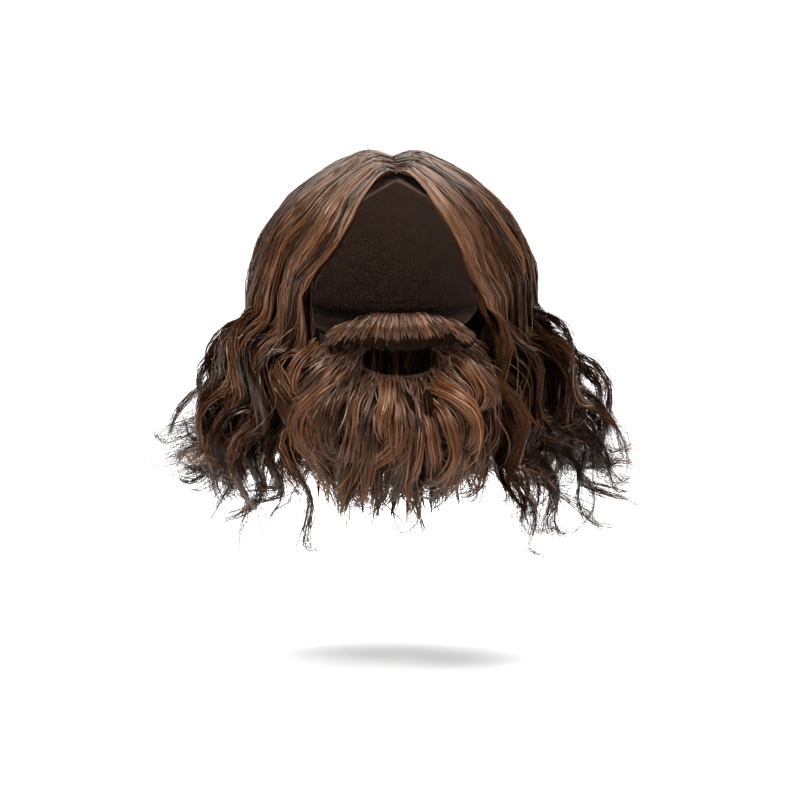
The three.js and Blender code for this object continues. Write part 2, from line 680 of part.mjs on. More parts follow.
// One lock of the beard, which grows outwards, falls and curls at its end
function beardLock(lock, from, to) {
  const outward = direction(lock.turn, 90);
  const base = NET_CLEARANCE + NET_WALL + HAIR_CLEARANCE;
  const root = facePoint(lock.turn, lock.level, base + UNDERCOAT * ROOT_DEPTH);
  const length = lock.length * BEARD_DROP;
  const path = hangPath(root, outward, length, BEARD_STEPS, (share, walked) => {
    const wave = 2 * Math.PI * (walked / WAVE_LENGTH + lock.phase);
    return {
      pitch:
        lock.rise * (1 - smoothstep(share, 0, RISE_END)) +
        lock.swing * share * Math.sin(wave) +
        lock.hook * smoothstep(share, BEARD_HOOK_START, 1),
      yaw:
        lerp(lock.lean, lock.curl, smoothstep(share, CURL_START, CURL_END)) +
        lock.swing * share * Math.cos(wave),
    };
  });
  const rings = path.map((section) => {
    const body = lerp(BEARD_ROOT, 1, smoothstep(section.share, 0, BEARD_FULL));
    const taper = body * Math.max(1 - section.share ** 3, BEARD_TIP);
    const width = (lock.width * BEARD_LOCK_WIDTH * taper) / 2;
    const ring = ringOf(section, LOCK_SECTION, width, (BEARD_LOCK_THICKNESS * taper) / 2);
    return ring.map((point) => keepBetween(point, from, to));
  });
  return bodyThrough(rings);
}

function chinHair() {
  const coat = undercoat(COAT_MARGIN - CHIN_TURN, CHIN_TURN - COAT_MARGIN, COAT_COLUMNS);
  const locks = CHIN_LOCKS.map((lock) => beardLock(lock, -CHIN_TURN, CHIN_TURN));
  return fuse([coat, ...locks]);
}

function cheekHair(rows) {
  const coat = undercoat(CHIN_TURN + COAT_MARGIN, COAT_TURN, COAT_COLUMNS);
  const locks = rows.map((lock) => beardLock(lock, CHIN_TURN, FACE_TURN));
  return fuse([coat, ...locks]);
}

// Moustache: short locks that roll outwards and down over the lip, and sweep to the sides
function moustache() {
  const base = NET_CLEARANCE + NET_WALL + HAIR_CLEARANCE + MOUSTACHE_LOCK_THICKNESS / 2;
  const half = MOUSTACHE_LOCKS.map((lock) => {
    const outward = direction(lock.turn, 90);
    const root = facePoint(lock.turn, lock.level, base);
    const length = lock.length * MOUSTACHE_DROP;
    const path = hangPath(root, outward, length, MOUSTACHE_STEPS, (share) => ({
      pitch: lerp(MOUSTACHE_RISE, -MOUSTACHE_ROLL, smoothstep(share, 0, 1)),
      yaw: lock.lean,
    }));
    const rings = path.map((section) => {
      const taper = Math.max(1 - section.share ** 4, MOUSTACHE_TIP);
      const width = (lock.width * MOUSTACHE_LOCK_WIDTH * taper) / 2;
      return ringOf(section, LOCK_SECTION, width, (MOUSTACHE_LOCK_THICKNESS * taper) / 2);
    });
    return bodyThrough(rings);
  });
  return fuse([...half, ...half.map((lock) => mirrored(lock, -1))]);
}

// Elastic strap of the beard, from one sideburn round the back of the head to the other
function beardElastic() {
  const rings = [];
  for (let i = 0; i <= STRAP_STEPS; i++) {
    const turn = lerp(STRAP_TURN, 360 - STRAP_TURN, i / STRAP_STEPS);
    const back = Math.sin(Math.PI * (i / STRAP_STEPS));
    const tilt = lerp(STRAP_EAR_TILT, STRAP_BACK_TILT, back);
    const halfTilt = radToDeg(STRAP_WIDTH / 2 / HEAD_RISE);
    rings.push(
      STRAP_SECTION.map(({ across, out }) =>
        headPoint(
          direction(turn, tilt - across * halfTilt),
          -STRAP_DEPTH - ((1 - out) * STRAP_THICKNESS) / 2,
        ),
      ),
    );
  }
  return bodyThrough(rings);
}

const wig = new THREE.Group();
wig.add(meshOf("wig_cap", wigCap(), FINISHES.cap));
wig.add(meshOf("parting_strip", partingStrip(), FINISHES.parting));
const SIDES = [
  {
    name: "left",
    side: 1,
    locks: LEFT_LOCKS,
    flicks: LEFT_FLICKS,
    fall: LEFT_FALL,
    cheek: LEFT_CHEEK_LOCKS,
  },
  {
    name: "right",
    side: -1,
    locks: RIGHT_LOCKS,
    flicks: RIGHT_FLICKS,
    fall: RIGHT_FALL,
    cheek: RIGHT_CHEEK_LOCKS,
  },
];
for (const { name, side, locks, flicks, fall } of SIDES) {
  for (const region of WIG_REGIONS) {
    const hair = mirrored(wigHair(region, locks, flicks, fall), side);
    wig.add(meshOf(`${name}_${region.region}_hair`, hair, FINISHES.hair));
  }
  wig.add(meshOf(`${name}_nape_curls`, mirrored(napeCurls(), side), FINISHES.hair));
}

const beard = new THREE.Group();
beard.add(meshOf("beard_net", beardNet(), FINISHES.net));
beard.add(meshOf("moustache", moustache(), FINISHES.beard));
beard.add(meshOf("chin_hair", chinHair(), FINISHES.beard));
for (const { name, side, cheek } of SIDES) {
  beard.add(meshOf(`${name}_cheek_hair`, mirrored(cheekHair(cheek), side), FINISHES.beard));
}
beard.add(meshOf("beard_elastic", beardElastic(), FINISHES.strap));

const set = new THREE.Group();
set.add(wig, beard);
export default set;
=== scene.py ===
"""Dresses the solids of a wavy wig and its full beard in strands of fibre, stretch net and elastic.

Lengths in the tables and functions are millimetres, in the frame of the solids: +Z up, front
towards -Y, the wearer's left at +X. Meshes are written in metres. A turn is an angle about the
upright axis, 0 at the front and 180 at the back, and a tilt is an angle from straight up, both in
degrees. A share runs from 0 to 1 along a length.
"""

import math

import bpy
import numpy as np
from bpy.props import FloatProperty, FloatVectorProperty, IntProperty, PointerProperty
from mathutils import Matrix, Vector


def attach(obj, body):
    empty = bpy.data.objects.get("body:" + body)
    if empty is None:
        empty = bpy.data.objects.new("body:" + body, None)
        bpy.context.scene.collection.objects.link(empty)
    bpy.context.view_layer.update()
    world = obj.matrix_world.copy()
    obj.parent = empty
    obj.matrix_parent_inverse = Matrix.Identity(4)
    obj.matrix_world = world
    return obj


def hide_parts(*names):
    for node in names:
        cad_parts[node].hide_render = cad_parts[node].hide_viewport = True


bl_info = {
    "name": "Wig and beard set",
    "version": (1, 0, 0),
    "blender": (4, 5, 0),
    "location": "View3D > Sidebar > Wig and beard",
    "description": "Strands, net, parting and elastic of a wavy wig and its full beard",
    "category": "Add Mesh",
}

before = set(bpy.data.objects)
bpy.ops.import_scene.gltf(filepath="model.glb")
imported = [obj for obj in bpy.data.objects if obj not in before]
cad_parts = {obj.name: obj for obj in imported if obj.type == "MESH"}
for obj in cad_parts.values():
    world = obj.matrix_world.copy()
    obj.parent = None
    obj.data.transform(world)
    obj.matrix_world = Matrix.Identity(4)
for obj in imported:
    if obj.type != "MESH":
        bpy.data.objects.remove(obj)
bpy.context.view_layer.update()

MM = 0.001
TEXTURE_MAP = "OFBake"  # name of the map that the patterns follow

# The head that the set fits
HEAD_HALVES = np.array([78.0, 98.0, 100.0])
HEAD_CENTRE = np.array([0.0, 0.0, -100.0])
FACE_DROP = 222.0
UP = np.array([0.0, 0.0, 1.0])

# Cap, parting and clearances
CAP_WALL = 1.5
HAIR_CLEARANCE = 1.5
HAIR_BASE = CAP_WALL + HAIR_CLEARANCE
PARTING_WIDTH = 4.0
PARTING_THICKNESS = 0.8
PARTING_FRONT = -30.0  # tilt of its front end, in front of the crown
PARTING_BACK = 25.0
PARTING_LINE = 1.2  # width left free between the strands of the two sides
PARTING_CROWN = 0.25  # how far its middle stands above its edges
PARTING_HIDDEN = 3.0  # tilt at its front that the strands cover, where the strip isn't drawn
LAST_ROOT = 38.0  # tilt of the last root behind the crown
WEFT_HEIGHT = 0.35
WEFT_SPACING = 8.0  # tilt from one sewn weft to the next
CAP_BINDING = 0.7

# Hair of the wig
PARTING_HAIR = 8.0
CROWN_HAIR = 13.0
FRINGE_HAIR = 19.0
SIDE_HAIR = 37.0
FRINGE_SHARE = 0.3
CROWN_RISE = 0.14
CROWN_LENGTH = 165.0  # from the parting down to ear level
EAR_TILT = 92.0
FACE_TURN = 46.0
HAIR_DROP = 205.0
LOCK_THICKNESS = 27.0
WAVE_LENGTH = 84.0
SETTLE_END = 0.14  # share of its fall over which a lock's wave and flare come in
FLICK_SETTLE = 0.46  # the same of a flick
CRIMP_LENGTH = 38.0  # of the finer wave of a tuft where it hangs
CROWN_SWING = 0.018  # swing of a tuft's wave at the foot of the crown, as a difference in place
RIPPLE_LENGTH = 41.0  # of its finer wave on the crown
RIPPLE_HEIGHT = 0.9
PLACE_SPAN = 270.0  # once round the hair of one side at ear level, from place 0 to place 1
NAPE_TILT = 110.0
NAPE_HAIR = 7.0
NAPE_TUCK = 8.0
NAPE_HOOK_START = 0.6
NAPE_TUFTS = 14
NAPE_TUFT_STRANDS = 30

# Along a strand of the wig: shares of the crown or of the fall at which a form comes in or goes
ROOT_DEPTH = 0.62  # share of its depth that the hair has at the parting
ROOT_RISE = 0.05
SWING_COMES = (0.3, 1.0)
RIPPLE_COMES = (0.1, 0.5)
TUFT_COMES = (0.5, 1.3)  # crown and fall together, with 1 where they meet
GAP_GOES = 0.25
SECTOR_COMES = 0.12
SIDE_SECTOR = (FACE_TURN - 2.0, 184.0)  # turns between which the hair of one side hangs
LAST_PLACE = 1.01  # a swinging strand may just cross the middle of the back
CRIMP_EASE = 0.2
FLARE_SINKS = (0.35, 0.8)
FLARE_LEFT = 0.3
HOOK_START = 0.66
CURL_START = 0.55
SIDEWAYS_SWING = 0.8  # swing across, as a share of the swing in and out
THICKNESS_COMES = 0.45
TIP_THICKNESS = 0.6
WIG_TIP_WIDTH = 0.12  # share of its width that a tuft has at its tip, and of its depth
WIG_TIP_DEPTH = 0.2
TIP_SPREAD = 0.15  # the same of other tufts, both ways
RING_SHIFT = 0.45  # of a strand's rings on the crown, so that neighbours don't bend together
STRAND_TWIST = 20.0  # about how far a flat strand turns about its path

# How a tuft differs from the lock that it is read from, as times its value, and in its roots
TUFT_HANG = (0.98, 1.2)
TUFT_FLARE = (0.6, 1.1)
TUFT_SETTLE = (0.12, 0.32)
OUTWARD_HOOK = 1.5
INWARD_HOOK = -1.0
OUTWARD_HOOKS = 0.85  # share of the tufts that hook outwards
EARLY_STARTS = 0.65  # share of the strands that start where their layer does
LATE_START = 0.6  # how far down the crown the others may start, as a share of what is left of it
ROOT_SPREAD = 0.7  # of a tuft's roots to either side, in spacings of tufts
OUTER_ROOTS = (0.6, 1.0)  # height of the roots in the hair's depth, of the outer layer
INNER_ROOTS = (0.3, 0.8)
TUFTS_IN_FLICK = 3
FLICK_FIRST = 0.94  # share of the crown at which the strands of flicks start
FLICK_WIDTH = 0.9
CRIMP_ANGLES = (3.0, 9.0)  # swing of the finer wave, in degrees
CRIMP_PHASE_SPREAD = 0.05

# Kinds of tufts. half_width and spread say how far strands lie from the tuft's middle, across and
# out, and shortest is the share of it at which the first ones end. swing is added to the lock's,
# shade is the middle one, and shades say how much tufts differ in it and strands of one tuft do
TUFT_KINDS = {
    "wig": dict(half_width=(6.0, 9.0), spread=1.5, shortest=0.6, swing=13.0, shades=(0.12, 0.09)),
    "flick": dict(half_width=3.5, spread=1.2, shortest=0.55, shade=0.42, shades=(0.1, 0.08)),
    "nape": dict(half_width=6.0, spread=1.8, shortest=0.55, swing=10.0, shade=0.34, shades=(0.1, 0.08)),
    "beard": dict(half_width=6.0, spread=1.6, shortest=0.4, swing=12.0, shades=(0.09, 0.09)),
}

# Loose arcs: what each is drawn between, with some of the locks' flare on top of its own
ARC_LIMITS = {
    "hang": (0.45, 1.0),
    "flare": (0.0, 12.0),
    "swing": (28.0, 44.0),
    "phase": (0.0, 1.0),
    "hook": (-140.0, 170.0),
}
ARC_FLARE = 0.8
ARC_SETTLE = 0.3
ARC_CURL = 60.0
ARC_WIDTH = 0.6
ARC_ROOT = 0.9  # height of its root in the hair's depth, and what it has lower down
ARC_HEIGHTS = (0.2, 1.1)
ARC_STARTS = (0.5, 0.9)
ARC_SHADES = (0.3, 0.75)

# Layer and bodies under the strands, painted near-black as the shade deep in the hair: width and
# depth of a body, and how much of its lock's length and flare it has
CORE_SIZES = {"wig": (13.0, 9.0), "nape": (12.0, 6.0), "beard": (14.0, 10.0)}
CORE_HANG = 0.7
CORE_FLARE = 0.75
CORE_SWING = 8.0
CORE_PLACES = (0.16, 0.84, 4)  # the first and last in a region as shares of it, and how many
CORE_HEIGHTS = (-0.6, -0.25)  # in the hair's depth
CORE_FIRST = 0.1  # no body lies nearer to the face than this place
CORE_START = 0.9
CORE_TIP = 0.05
BEARD_CORE_LEVELS = (0.15, 0.5, 0.85)
BEARD_CORE_LIFT = 0.4
BEARD_CORE_RISE = 0.66
BEARD_CORE_LENGTH = 0.74
CORE_INSET = 4.0  # turn between a piece of the beard's side and its first body
SHELL_FIRST = 0.03  # place beside the face where the layer starts, and where it is thick
SHELL_THICK = 0.1
SHELL_DEPTH = 0.4
SHELL_EDGE = 1.2  # how thick it is at its edge
SHELL_SINK = 0.5
SHELL_STREAKS = 700.0
COAT_SINK = 0.9
COAT_STREAKS = 9.0
COAT_DEPTHS = (0.1, 0.6)  # at its edges and in its middle, as shares of the undercoat
COAT_GAP = 0.5  # turn left free between the layers of chin and cheek
# Shade of the painted shadow on the layers and bodies under the strands, near the darkest
PAINTED_SHADOW_SHADE = 0.05

# Beard
MOUTH_LEVEL = 151.0
MOUTH_TURN = 18.5
MOUTH_RISE = 12.5
NET_WALL = 1.2
NET_CLEARANCE = 0.5
BEARD_BASE = NET_CLEARANCE + NET_WALL + HAIR_CLEARANCE
UNDERCOAT = 9.0
BEARD_DROP = 96.0
CHIN_TURN = 20.0
COAT_TURN = 80.0
MOUSTACHE_DROP = 40.0
MOUSTACHE_LOCK_THICKNESS = 11.0
MOUSTACHE_RISE = 82.0
MOUSTACHE_ROLL = 62.0
MOUSTACHE_TURN = 21.0
MOUSTACHE_BEND = 9.0
MOUSTACHE_SWEEP = 1.25
MOUSTACHE_TUCK = 1.4  # how much further than its body the strands roll under
MOUSTACHE_SPREAD = 0.35
MOUSTACHE_SHORTEST = 0.55
ROLL_END = 0.4  # turn from the body's last path to where its thickness would be nothing
ROLL_DEPTH = 0.55
STRANDS_BEYOND = 2.5  # turn by which the strands start past the body's ends
UNDER_ROLL = 0.15  # share of the strands that lie on the underside of the roll
NET_BINDING = 0.5
NET_THINNER = 0.2  # the net lies this much lower than its wall between its two bindings

# Tufts of the beard: where along them forms come in, and how they differ from their locks
BEARD_FALLS = 0.55
BEARD_HOOK_START = 0.45
BEARD_BENDS = (0.2, 0.9)
BEARD_RISE = (0.5, 1.12)  # of the tufts that lie flattest and of those that stand out most
# Shades of the tufts that lie flattest and of those that stand out most: painted shade of depth
BEARD_SHADES = (0.12, 0.54)
BEARD_LENGTH = (0.8, 1.08)
BEARD_HOOK = 1.8
TUFT_OVERLAP = 4.0

# Short hair of the beard: angles, shades, lengths and the roots round the mouth
SHORT_RISE = (30.0, 70.0)
SHORT_DROOP = 50.0
SHORT_BEND = 26.0
SHORT_SPREAD = 14.0
SHORT_SHADES = (0.36, 0.13)  # the middle one, and how far they spread
COAT_LENGTHS = (18.0, 40.0)
COAT_SWEEP = 18.0
MOUTH_LENGTHS = (16.0, 32.0)
MOUTH_SWEEP = 34.0
MOUTH_LIFT = 0.8
MOUTH_LIFT_GROWS = 22.0
MOUTH_BEARINGS = (56.0, 180.0)  # from straight up
MOUTH_SHARES = (-0.03, 0.42)  # of the way from the opening to the net's edge

# Elastic strap
STRAP_WIDTH = 6.0
STRAP_THICKNESS = 0.8
STRAP_DEPTH = 2.2
STRAP_TURN = 84.0
STRAP_EAR_TILT = 94.0
STRAP_BACK_TILT = 104.0

# Finish of the fibre, as roughness and gloss, and of the thread and the parting. Dyed fibre gives
# some of its warm colour back in its gloss. Its colour is drawn a little brighter at the root than
# at the tip
STRAND_FINISH = (0.34, 0.42)
DEEP_FINISH = (0.9, 0.05)
GLOSS_TINT = 0xFFD8BC
FIBRE_IOR = 1.52
FIBRE_BRIGHTNESS = (1.12, 0.86)
# Patches along the fibre: painted highlights and shade of its bends, and its relief
FIBRE_PATCHES = (4.0, 45.0, 1.0)  # over the shades, and root to tip: one in about 8 mm of the wig
FIBRE_RELIEF = 0.6
THREAD_IOR = 1.5
# Share of the thread's colour painted between the threads as shade of the hollows
THREAD_GAP_SHADE = 0.45
SKIN_IOR = 1.52
SKIN_RELIEF = 0.2

# Cloths: threads along the two ways of the map, roughness, and depth of the relief. Threads are
# drawn coarser than real ones, so that they show: on the cap about 2 mm apart round the head, and
# across the elastic 1.2 mm
CAP_WEAVE = ((260, 110), 0.85, 0.6)
NET_WEAVE = ((240, 50), 0.85, 0.5)
STRAP_WEAVE = ((180, 5), 0.8, 0.3)

# First seed of the random values of each group of pieces
SEEDS = {"wig": 0, "nape": 300, "chin": 500, "cheek": 510, "moustache": 530}
WIG_SIDE_SEEDS = 100  # from the left side's first seed to the right side's

# Stage, in metres, degrees and watts
CAMERA_TARGET = (0.0064, 0.0, -0.187)
CAMERA_TURN = -4.0
CAMERA_RISE = 3.0
CAMERA_DISTANCE = 2.0
SENSOR_WIDTH = 36.0
LENS = 112.5
LIGHTS = (
    # name, place, size and power
    ("overhead softbox", (0.0, -0.3, 2.6), 4.0, 210.0),
    ("key light", (-0.8, -1.5, 1.4), 0.7, 44.0),
    ("fill light", (1.2, -1.5, 1.0), 0.8, 14.0),
    ("backdrop light", (0.0, 1.8, 2.8), 4.0, 160.0),
)
BACKDROP_STRENGTH = 0.12
FLOOR_LEVEL = -0.402
SWEEP_REACH = 2.5  # where the floor ends behind the set and its bend begins
SWEEP_BEND = 1.6
SWEEP_HEIGHT = 5.0
SWEEP_HALF = 7.0

# How much tufts differ, and how much the strands of one tuft do, column by column
WIG_AMOUNTS = {
    "hang": (0.05, 0.03),
    "flare": (5.0, 0.4),
    "lean": (6.0, 0.4),
    "swing": (5.0, 0.8),
    "phase": (0.06, 0.006),
    "hook": (26.0, 3.0),
    "curl": (22.0, 2.5),
}
BEARD_AMOUNTS = {
    "length": (0.1, 0.05),
    "rise": (6.0, 2.0),
    "lean": (12.0, 1.6),
    "curl": (34.0, 3.0),
    "swing": (8.0, 1.2),
    "phase": (0.2, 0.018),
    "hook": (26.0, 4.0),
}

# Stray strands: their share, and how much further than the others they leave their tuft
STRAY_SHARE = 0.1
STRAY_AMOUNT = 4.0

# Box that the hair is drawn back into, and how far it may run over
SOFT_LOW = np.array([-188.0, -139.0, -294.0])
SOFT_HIGH = np.array([188.0, 184.0, 60.0])
SOFT_ROOM = 12.0

# Fineness
PATH_STEPS = 44  # equal steps in which a hanging path is walked
CROWN_RINGS = 8
FALL_RINGS = 19
NAPE_RINGS = 18
BEARD_RINGS = 15
MOUSTACHE_RINGS = 12
SHORT_RINGS = 9
CORE_RINGS = 16
CORE_CORNERS = 8


def columns(names, rows):
    """A table as one array for each named column."""
    return {name: np.array(values, float) for name, values in zip(names.split(), zip(*rows))}


CAP_EDGE = columns(
    "turn tilt",
    [(0, 31), (30, 48), (60, 72), (85, 86), (105, 90), (130, 108), (180, 117)],
)
FACE_SECTIONS = columns(
    "level width front",
    [
        (0.4, 0.99, 0.95),
        (0.47, 0.99, 0.96),
        (0.55, 0.96, 0.98),
        (0.68, 0.865, 1),
        (0.81, 0.757, 0.99),
        (0.92, 0.6, 0.92),
        (1, 0.4, 0.63),
    ],
)
BEARD_EDGE = columns(
    "bearing turn level",
    [
        (0, 0, 0.525),
        (30, 15, 0.535),
        (55, 29, 0.59),
        (72, 50, 0.605),
        (84, 75, 0.5),
        (90, 88, 0.47),
        (97, 92, 0.54),
        (110, 84, 0.72),
        (130, 62, 0.88),
        (155, 34, 0.97),
        (180, 0, 0.99),
    ],
)
BEARD_COAT = columns(
    "turn top bottom",
    [
        (0, 0.75, 0.925),
        (12, 0.74, 0.925),
        (20, 0.7, 0.92),
        (28, 0.65, 0.93),
        (40, 0.635, 0.91),
        (52, 0.63, 0.88),
        (66, 0.6, 0.8),
        (80, 0.53, 0.7),
    ],
)

WIG_REGIONS = {
    "front": (0.0, 0.2),
    "temple": (0.2, 0.4),
    "side": (0.4, 0.6),
    "rear": (0.6, 0.8),
    "back": (0.8, 1.0),
}
# Locks of the wig: the phases run on from one to the next, so that they can be read in between
LOCK_COLUMNS = "place hang flare lean swing phase hook"
LEFT_LOCKS = columns(
    LOCK_COLUMNS,
    [
        (0.05, 1.06, 16, -2, 26, 0.1, 45),
        (0.15, 1.04, 28, 4, 28, 0.45, 60),
        (0.25, 0.92, 34, 2, 28, 0.8, 75),
        (0.35, 0.98, 37, 4, 28, 1.1, 60),
        (0.45, 0.88, 36, -4, 26, 1.4, 80),
        (0.55, 0.96, 31, 3, 26, 1.7, 55),
        (0.65, 0.92, 28, -3, 26, 2.0, 75),
        (0.75, 0.98, 26, 3, 26, 2.3, 60),
        (0.85, 0.9, 23, -2, 26, 2.6, 70),
        (0.95, 0.98, 21, 0, 26, 2.9, 60),
    ],
)
RIGHT_LOCKS = columns(
    LOCK_COLUMNS,
    [
        (0.05, 1.02, 12, 4, 28, 0.55, -30),
        (0.15, 0.96, 26, 8, 28, 0.75, 80),
        (0.25, 0.9, 33, 4, 28, 1.1, 65),
        (0.35, 0.96, 36, -3, 28, 1.35, 65),
        (0.45, 0.86, 35, 4, 26, 1.6, 80),
        (0.55, 0.96, 31, 0, 26, 1.9, 60),
        (0.65, 0.9, 28, 4, 26, 2.2, 75),
        (0.75, 0.98, 30, -3, 24, 2.5, 60),
        (0.85, 0.9, 24, 3, 26, 2.8, 70),
        (0.95, 0.96, 21, 0, 26, 3.1, 60),
    ],
)
LEFT_FLICKS = columns(
    LOCK_COLUMNS,
    [
        (0.1, 0.8, 34, 8, 30, 0.7, 110),
        (0.22, 0.62, 60, 4, 34, 0.2, -60),
        (0.3, 0.76, 54, 8, 34, 0.5, -95),
        (0.41, 0.7, 62, -6, 34, 0.8, 80),
        (0.5, 0.76, 44, 6, 32, 0.15, 110),
        (0.7, 0.78, 38, 0, 30, 0.3, 95),
        (0.9, 0.78, 34, 0, 30, 0.6, 90),
    ],
)
RIGHT_FLICKS = columns(
    LOCK_COLUMNS,
    [
        (0.06, 0.74, 18, 14, 34, 0.2, -50),
        (0.14, 0.88, 34, 6, 32, 0.4, 120),
        (0.23, 0.56, 66, 0, 34, 0.9, -110),
        (0.31, 0.7, 58, 6, 36, 0.15, -90),
        (0.46, 0.8, 40, -6, 32, 0.4, 115),
        (0.7, 0.78, 46, 2, 26, 0.7, 95),
        (0.9, 0.76, 34, 0, 30, 0.35, 95),
    ],
)
# How the front of each side falls: the turn at ear level, and the bow across the forehead
FALLS = {"left": (35.0, 4.0), "right": (45.0, 10.0)}
BOW_DELAY = 1.5  # above 1, the bow is widest past the middle of the way
NAPE_CURLS = columns(
    "turn hang lean swing phase hook",
    [
        (136, 0.68, 2, 14, 0.1, 20),
        (149, 0.76, 2, 12, 0.45, 24),
        (162, 0.7, 0, 12, 0.8, 20),
        (174, 0.76, -2, 12, 1.25, 30),
    ],
)
BEARD_COLUMNS = "turn level length rise lean swing phase hook curl width"
CHIN_LOCKS = columns(
    BEARD_COLUMNS,
    [
        (-12, 0.775, 0.98, 64, -24, 14, 0.1, -55, -5, 1),
        (0, 0.785, 1.04, 68, 16, 12, 0.3, -70, -55, 1.1),
        (12, 0.775, 0.96, 64, 32, 14, 0.6, -60, -35, 1),
        (-9, 0.86, 0.88, 52, -16, 16, 0.5, -40, -15, 1.1),
        (8, 0.87, 0.94, 52, 14, 16, 0.2, -45, -30, 1.1),
        (-5, 0.92, 0.84, 30, -6, 14, 0.5, -10, 10, 1),
        (7, 0.92, 0.8, 32, 6, 14, 0.2, -15, 5, 1),
    ],
)
CHEEK_LOCKS = {
    "left": columns(
        BEARD_COLUMNS,
        [
            (26, 0.68, 0.92, 56, 36, 16, 0.2, -45, -5, 1.1),
            (37, 0.66, 0.9, 46, 22, 16, 0.6, -25, -5, 1.1),
            (28, 0.77, 0.92, 60, 20, 18, 0.5, -60, -35, 1.1),
            (38, 0.77, 0.86, 50, 8, 16, 0.9, -45, -15, 1.1),
            (31, 0.86, 0.8, 50, 4, 16, 0.8, -55, -30, 1.1),
        ],
    ),
    "right": columns(
        BEARD_COLUMNS,
        [
            (26, 0.68, 0.9, 56, 36, 18, 0.45, -50, -5, 1.1),
            (37, 0.67, 0.88, 46, 22, 18, 0.3, -30, -5, 1.1),
            (28, 0.78, 0.94, 60, 18, 18, 0.7, -60, -40, 1.1),
            (38, 0.77, 0.88, 50, 6, 18, 0.1, -50, -20, 1.1),
            (31, 0.86, 0.82, 50, 4, 16, 0.3, -50, -25, 1.1),
        ],
    ),
}
MOUSTACHE_LOCKS = columns(
    "turn level length lean width",
    [
        (4.2, 0.545, 0.86, 8, 0.95),
        (10, 0.543, 0.9, 26, 1),
        (15.5, 0.55, 0.96, 40, 1),
        (20.5, 0.568, 1, 42, 0.9),
    ],
)
# Layers of tufts in a region of the wig, from the outside in. low and high say where they lie in
# the hair's depth, from -1 to 1, shade is 0 for the darkest hair, and first is the share of the
# crown at which their strands start. The deeper layers' lower shades are painted shade
TUFT_LAYERS = columns(
    "tufts low high shade first",
    [(7, 0.5, 1.0, 0.48, 0.0), (6, -0.15, 0.5, 0.24, 0.3), (4, -0.8, -0.2, 0.05, 0.86)],
)
LOCKS = {"left": LEFT_LOCKS, "right": RIGHT_LOCKS}
FLICKS = {"left": LEFT_FLICKS, "right": RIGHT_FLICKS}


def mix(low, high, share):
    """The value a share of the way from one value to another."""
    return low + (high - low) * share


def smoothstep(value, low, high):
    """0 below low and 1 above high, and 3t squared less 2t cubed between them."""
    t = np.clip((value - low) / (high - low), 0, 1)
    return t * t * (3 - 2 * t)


def read_table(table, along, at, column):
    """Smooth curve through a table's rows: the eased mix of two rows, plus their slopes' pull."""
    x, y = table[along], table[column]
    last = len(x) - 1
    before = np.maximum(np.arange(last + 1) - 1, 0)
    after = np.minimum(np.arange(last + 1) + 1, last)
    slope = (y[after] - y[before]) / (x[after] - x[before])
    place = np.clip(at, x[0], x[last])
    i = np.clip(np.searchsorted(x, place) - 1, 0, last - 1)
    span = x[i + 1] - x[i]
    t = (place - x[i]) / span
    pull = span * t * (1 - t) * ((1 - t) * slope[i] - t * slope[i + 1])
    return mix(y[i], y[i + 1], t * t * (3 - 2 * t)) + pull


def grid(down, across):
    """Two parameters over a grid of points, of which the first changes from row to row."""
    return np.meshgrid(down, across, indexing="ij")


def direction(turn, tilt):
    """Unit vector (sin tilt sin turn, -sin tilt cos turn, cos tilt)."""
    a, b = np.broadcast_arrays(np.radians(turn), np.radians(tilt))
    return np.stack([np.sin(b) * np.sin(a), -np.sin(b) * np.cos(a), np.cos(b)], -1)


def head_point(way, lift):
    """Point of the head's ellipsoid in a direction from its centre, moved out by the lift."""
    reach = 1 / np.linalg.norm(way / HEAD_HALVES, axis=-1)
    return HEAD_CENTRE + way * (reach + lift)[..., None]


def face_point(turn, level, lift):
    """Point of the face's level ellipse at a turn, moved out by the lift."""
    width = read_table(FACE_SECTIONS, "level", level, "width") * HEAD_HALVES[0]
    front = read_table(FACE_SECTIONS, "level", level, "front") * HEAD_HALVES[1]
    way = direction(turn, 90.0)
    reach = 1 / np.hypot(way[..., 0] / width, way[..., 1] / front)
    point = way * (reach + lift)[..., None]
    point[..., 2] = -level * FACE_DROP
    return point


def flow_direction(place, along, fall):
    """Great circle from the parting to ear level, bowed about the upright axis.

    The bow is sweep times (1 - place) squared times the sine of pi times along to a power.
    """
    turn, sweep = fall
    root = direction(180.0, mix(PARTING_FRONT, LAST_ROOT, place))
    end = direction(mix(turn, 180.0, place), EAR_TILT)
    arc = np.arccos(np.clip((root * end).sum(-1), -1, 1))
    way = (
        root * (np.sin((1 - along) * arc) / np.sin(arc))[..., None]
        + end * (np.sin(along * arc) / np.sin(arc))[..., None]
    )
    bow = -np.radians(sweep) * (1 - place) ** 2 * np.sin(np.pi * along**BOW_DELAY)
    x = way[..., 0] * np.cos(bow) - way[..., 1] * np.sin(bow)
    y = way[..., 0] * np.sin(bow) + way[..., 1] * np.cos(bow)
    return np.stack([x, y, way[..., 2]], -1)


def hair_depth(place, along):
    """Depth of the hair over the cap: thin at the parting, fuller over the crown and at ear level."""
    crown = mix(PARTING_HAIR, CROWN_HAIR, smoothstep(along, 0, CROWN_RISE))
    ear = mix(FRINGE_HAIR, SIDE_HAIR, smoothstep(place, 0, FRINGE_SHARE))
    return mix(crown, ear, smoothstep(along, CROWN_RISE, 1))


def keep_between(points, low, high):
    """The points, turned about the upright axis into the sector between two turns."""
    reach = np.hypot(points[..., 0], points[..., 1])
    turn = np.degrees(np.arctan2(points[..., 0], -points[..., 1]))
    turn = np.where(turn < -90, turn + 360, turn)
    kept = direction(np.clip(turn, low, high), 90.0) * reach[..., None]
    kept[..., 2] = points[..., 2]
    return kept


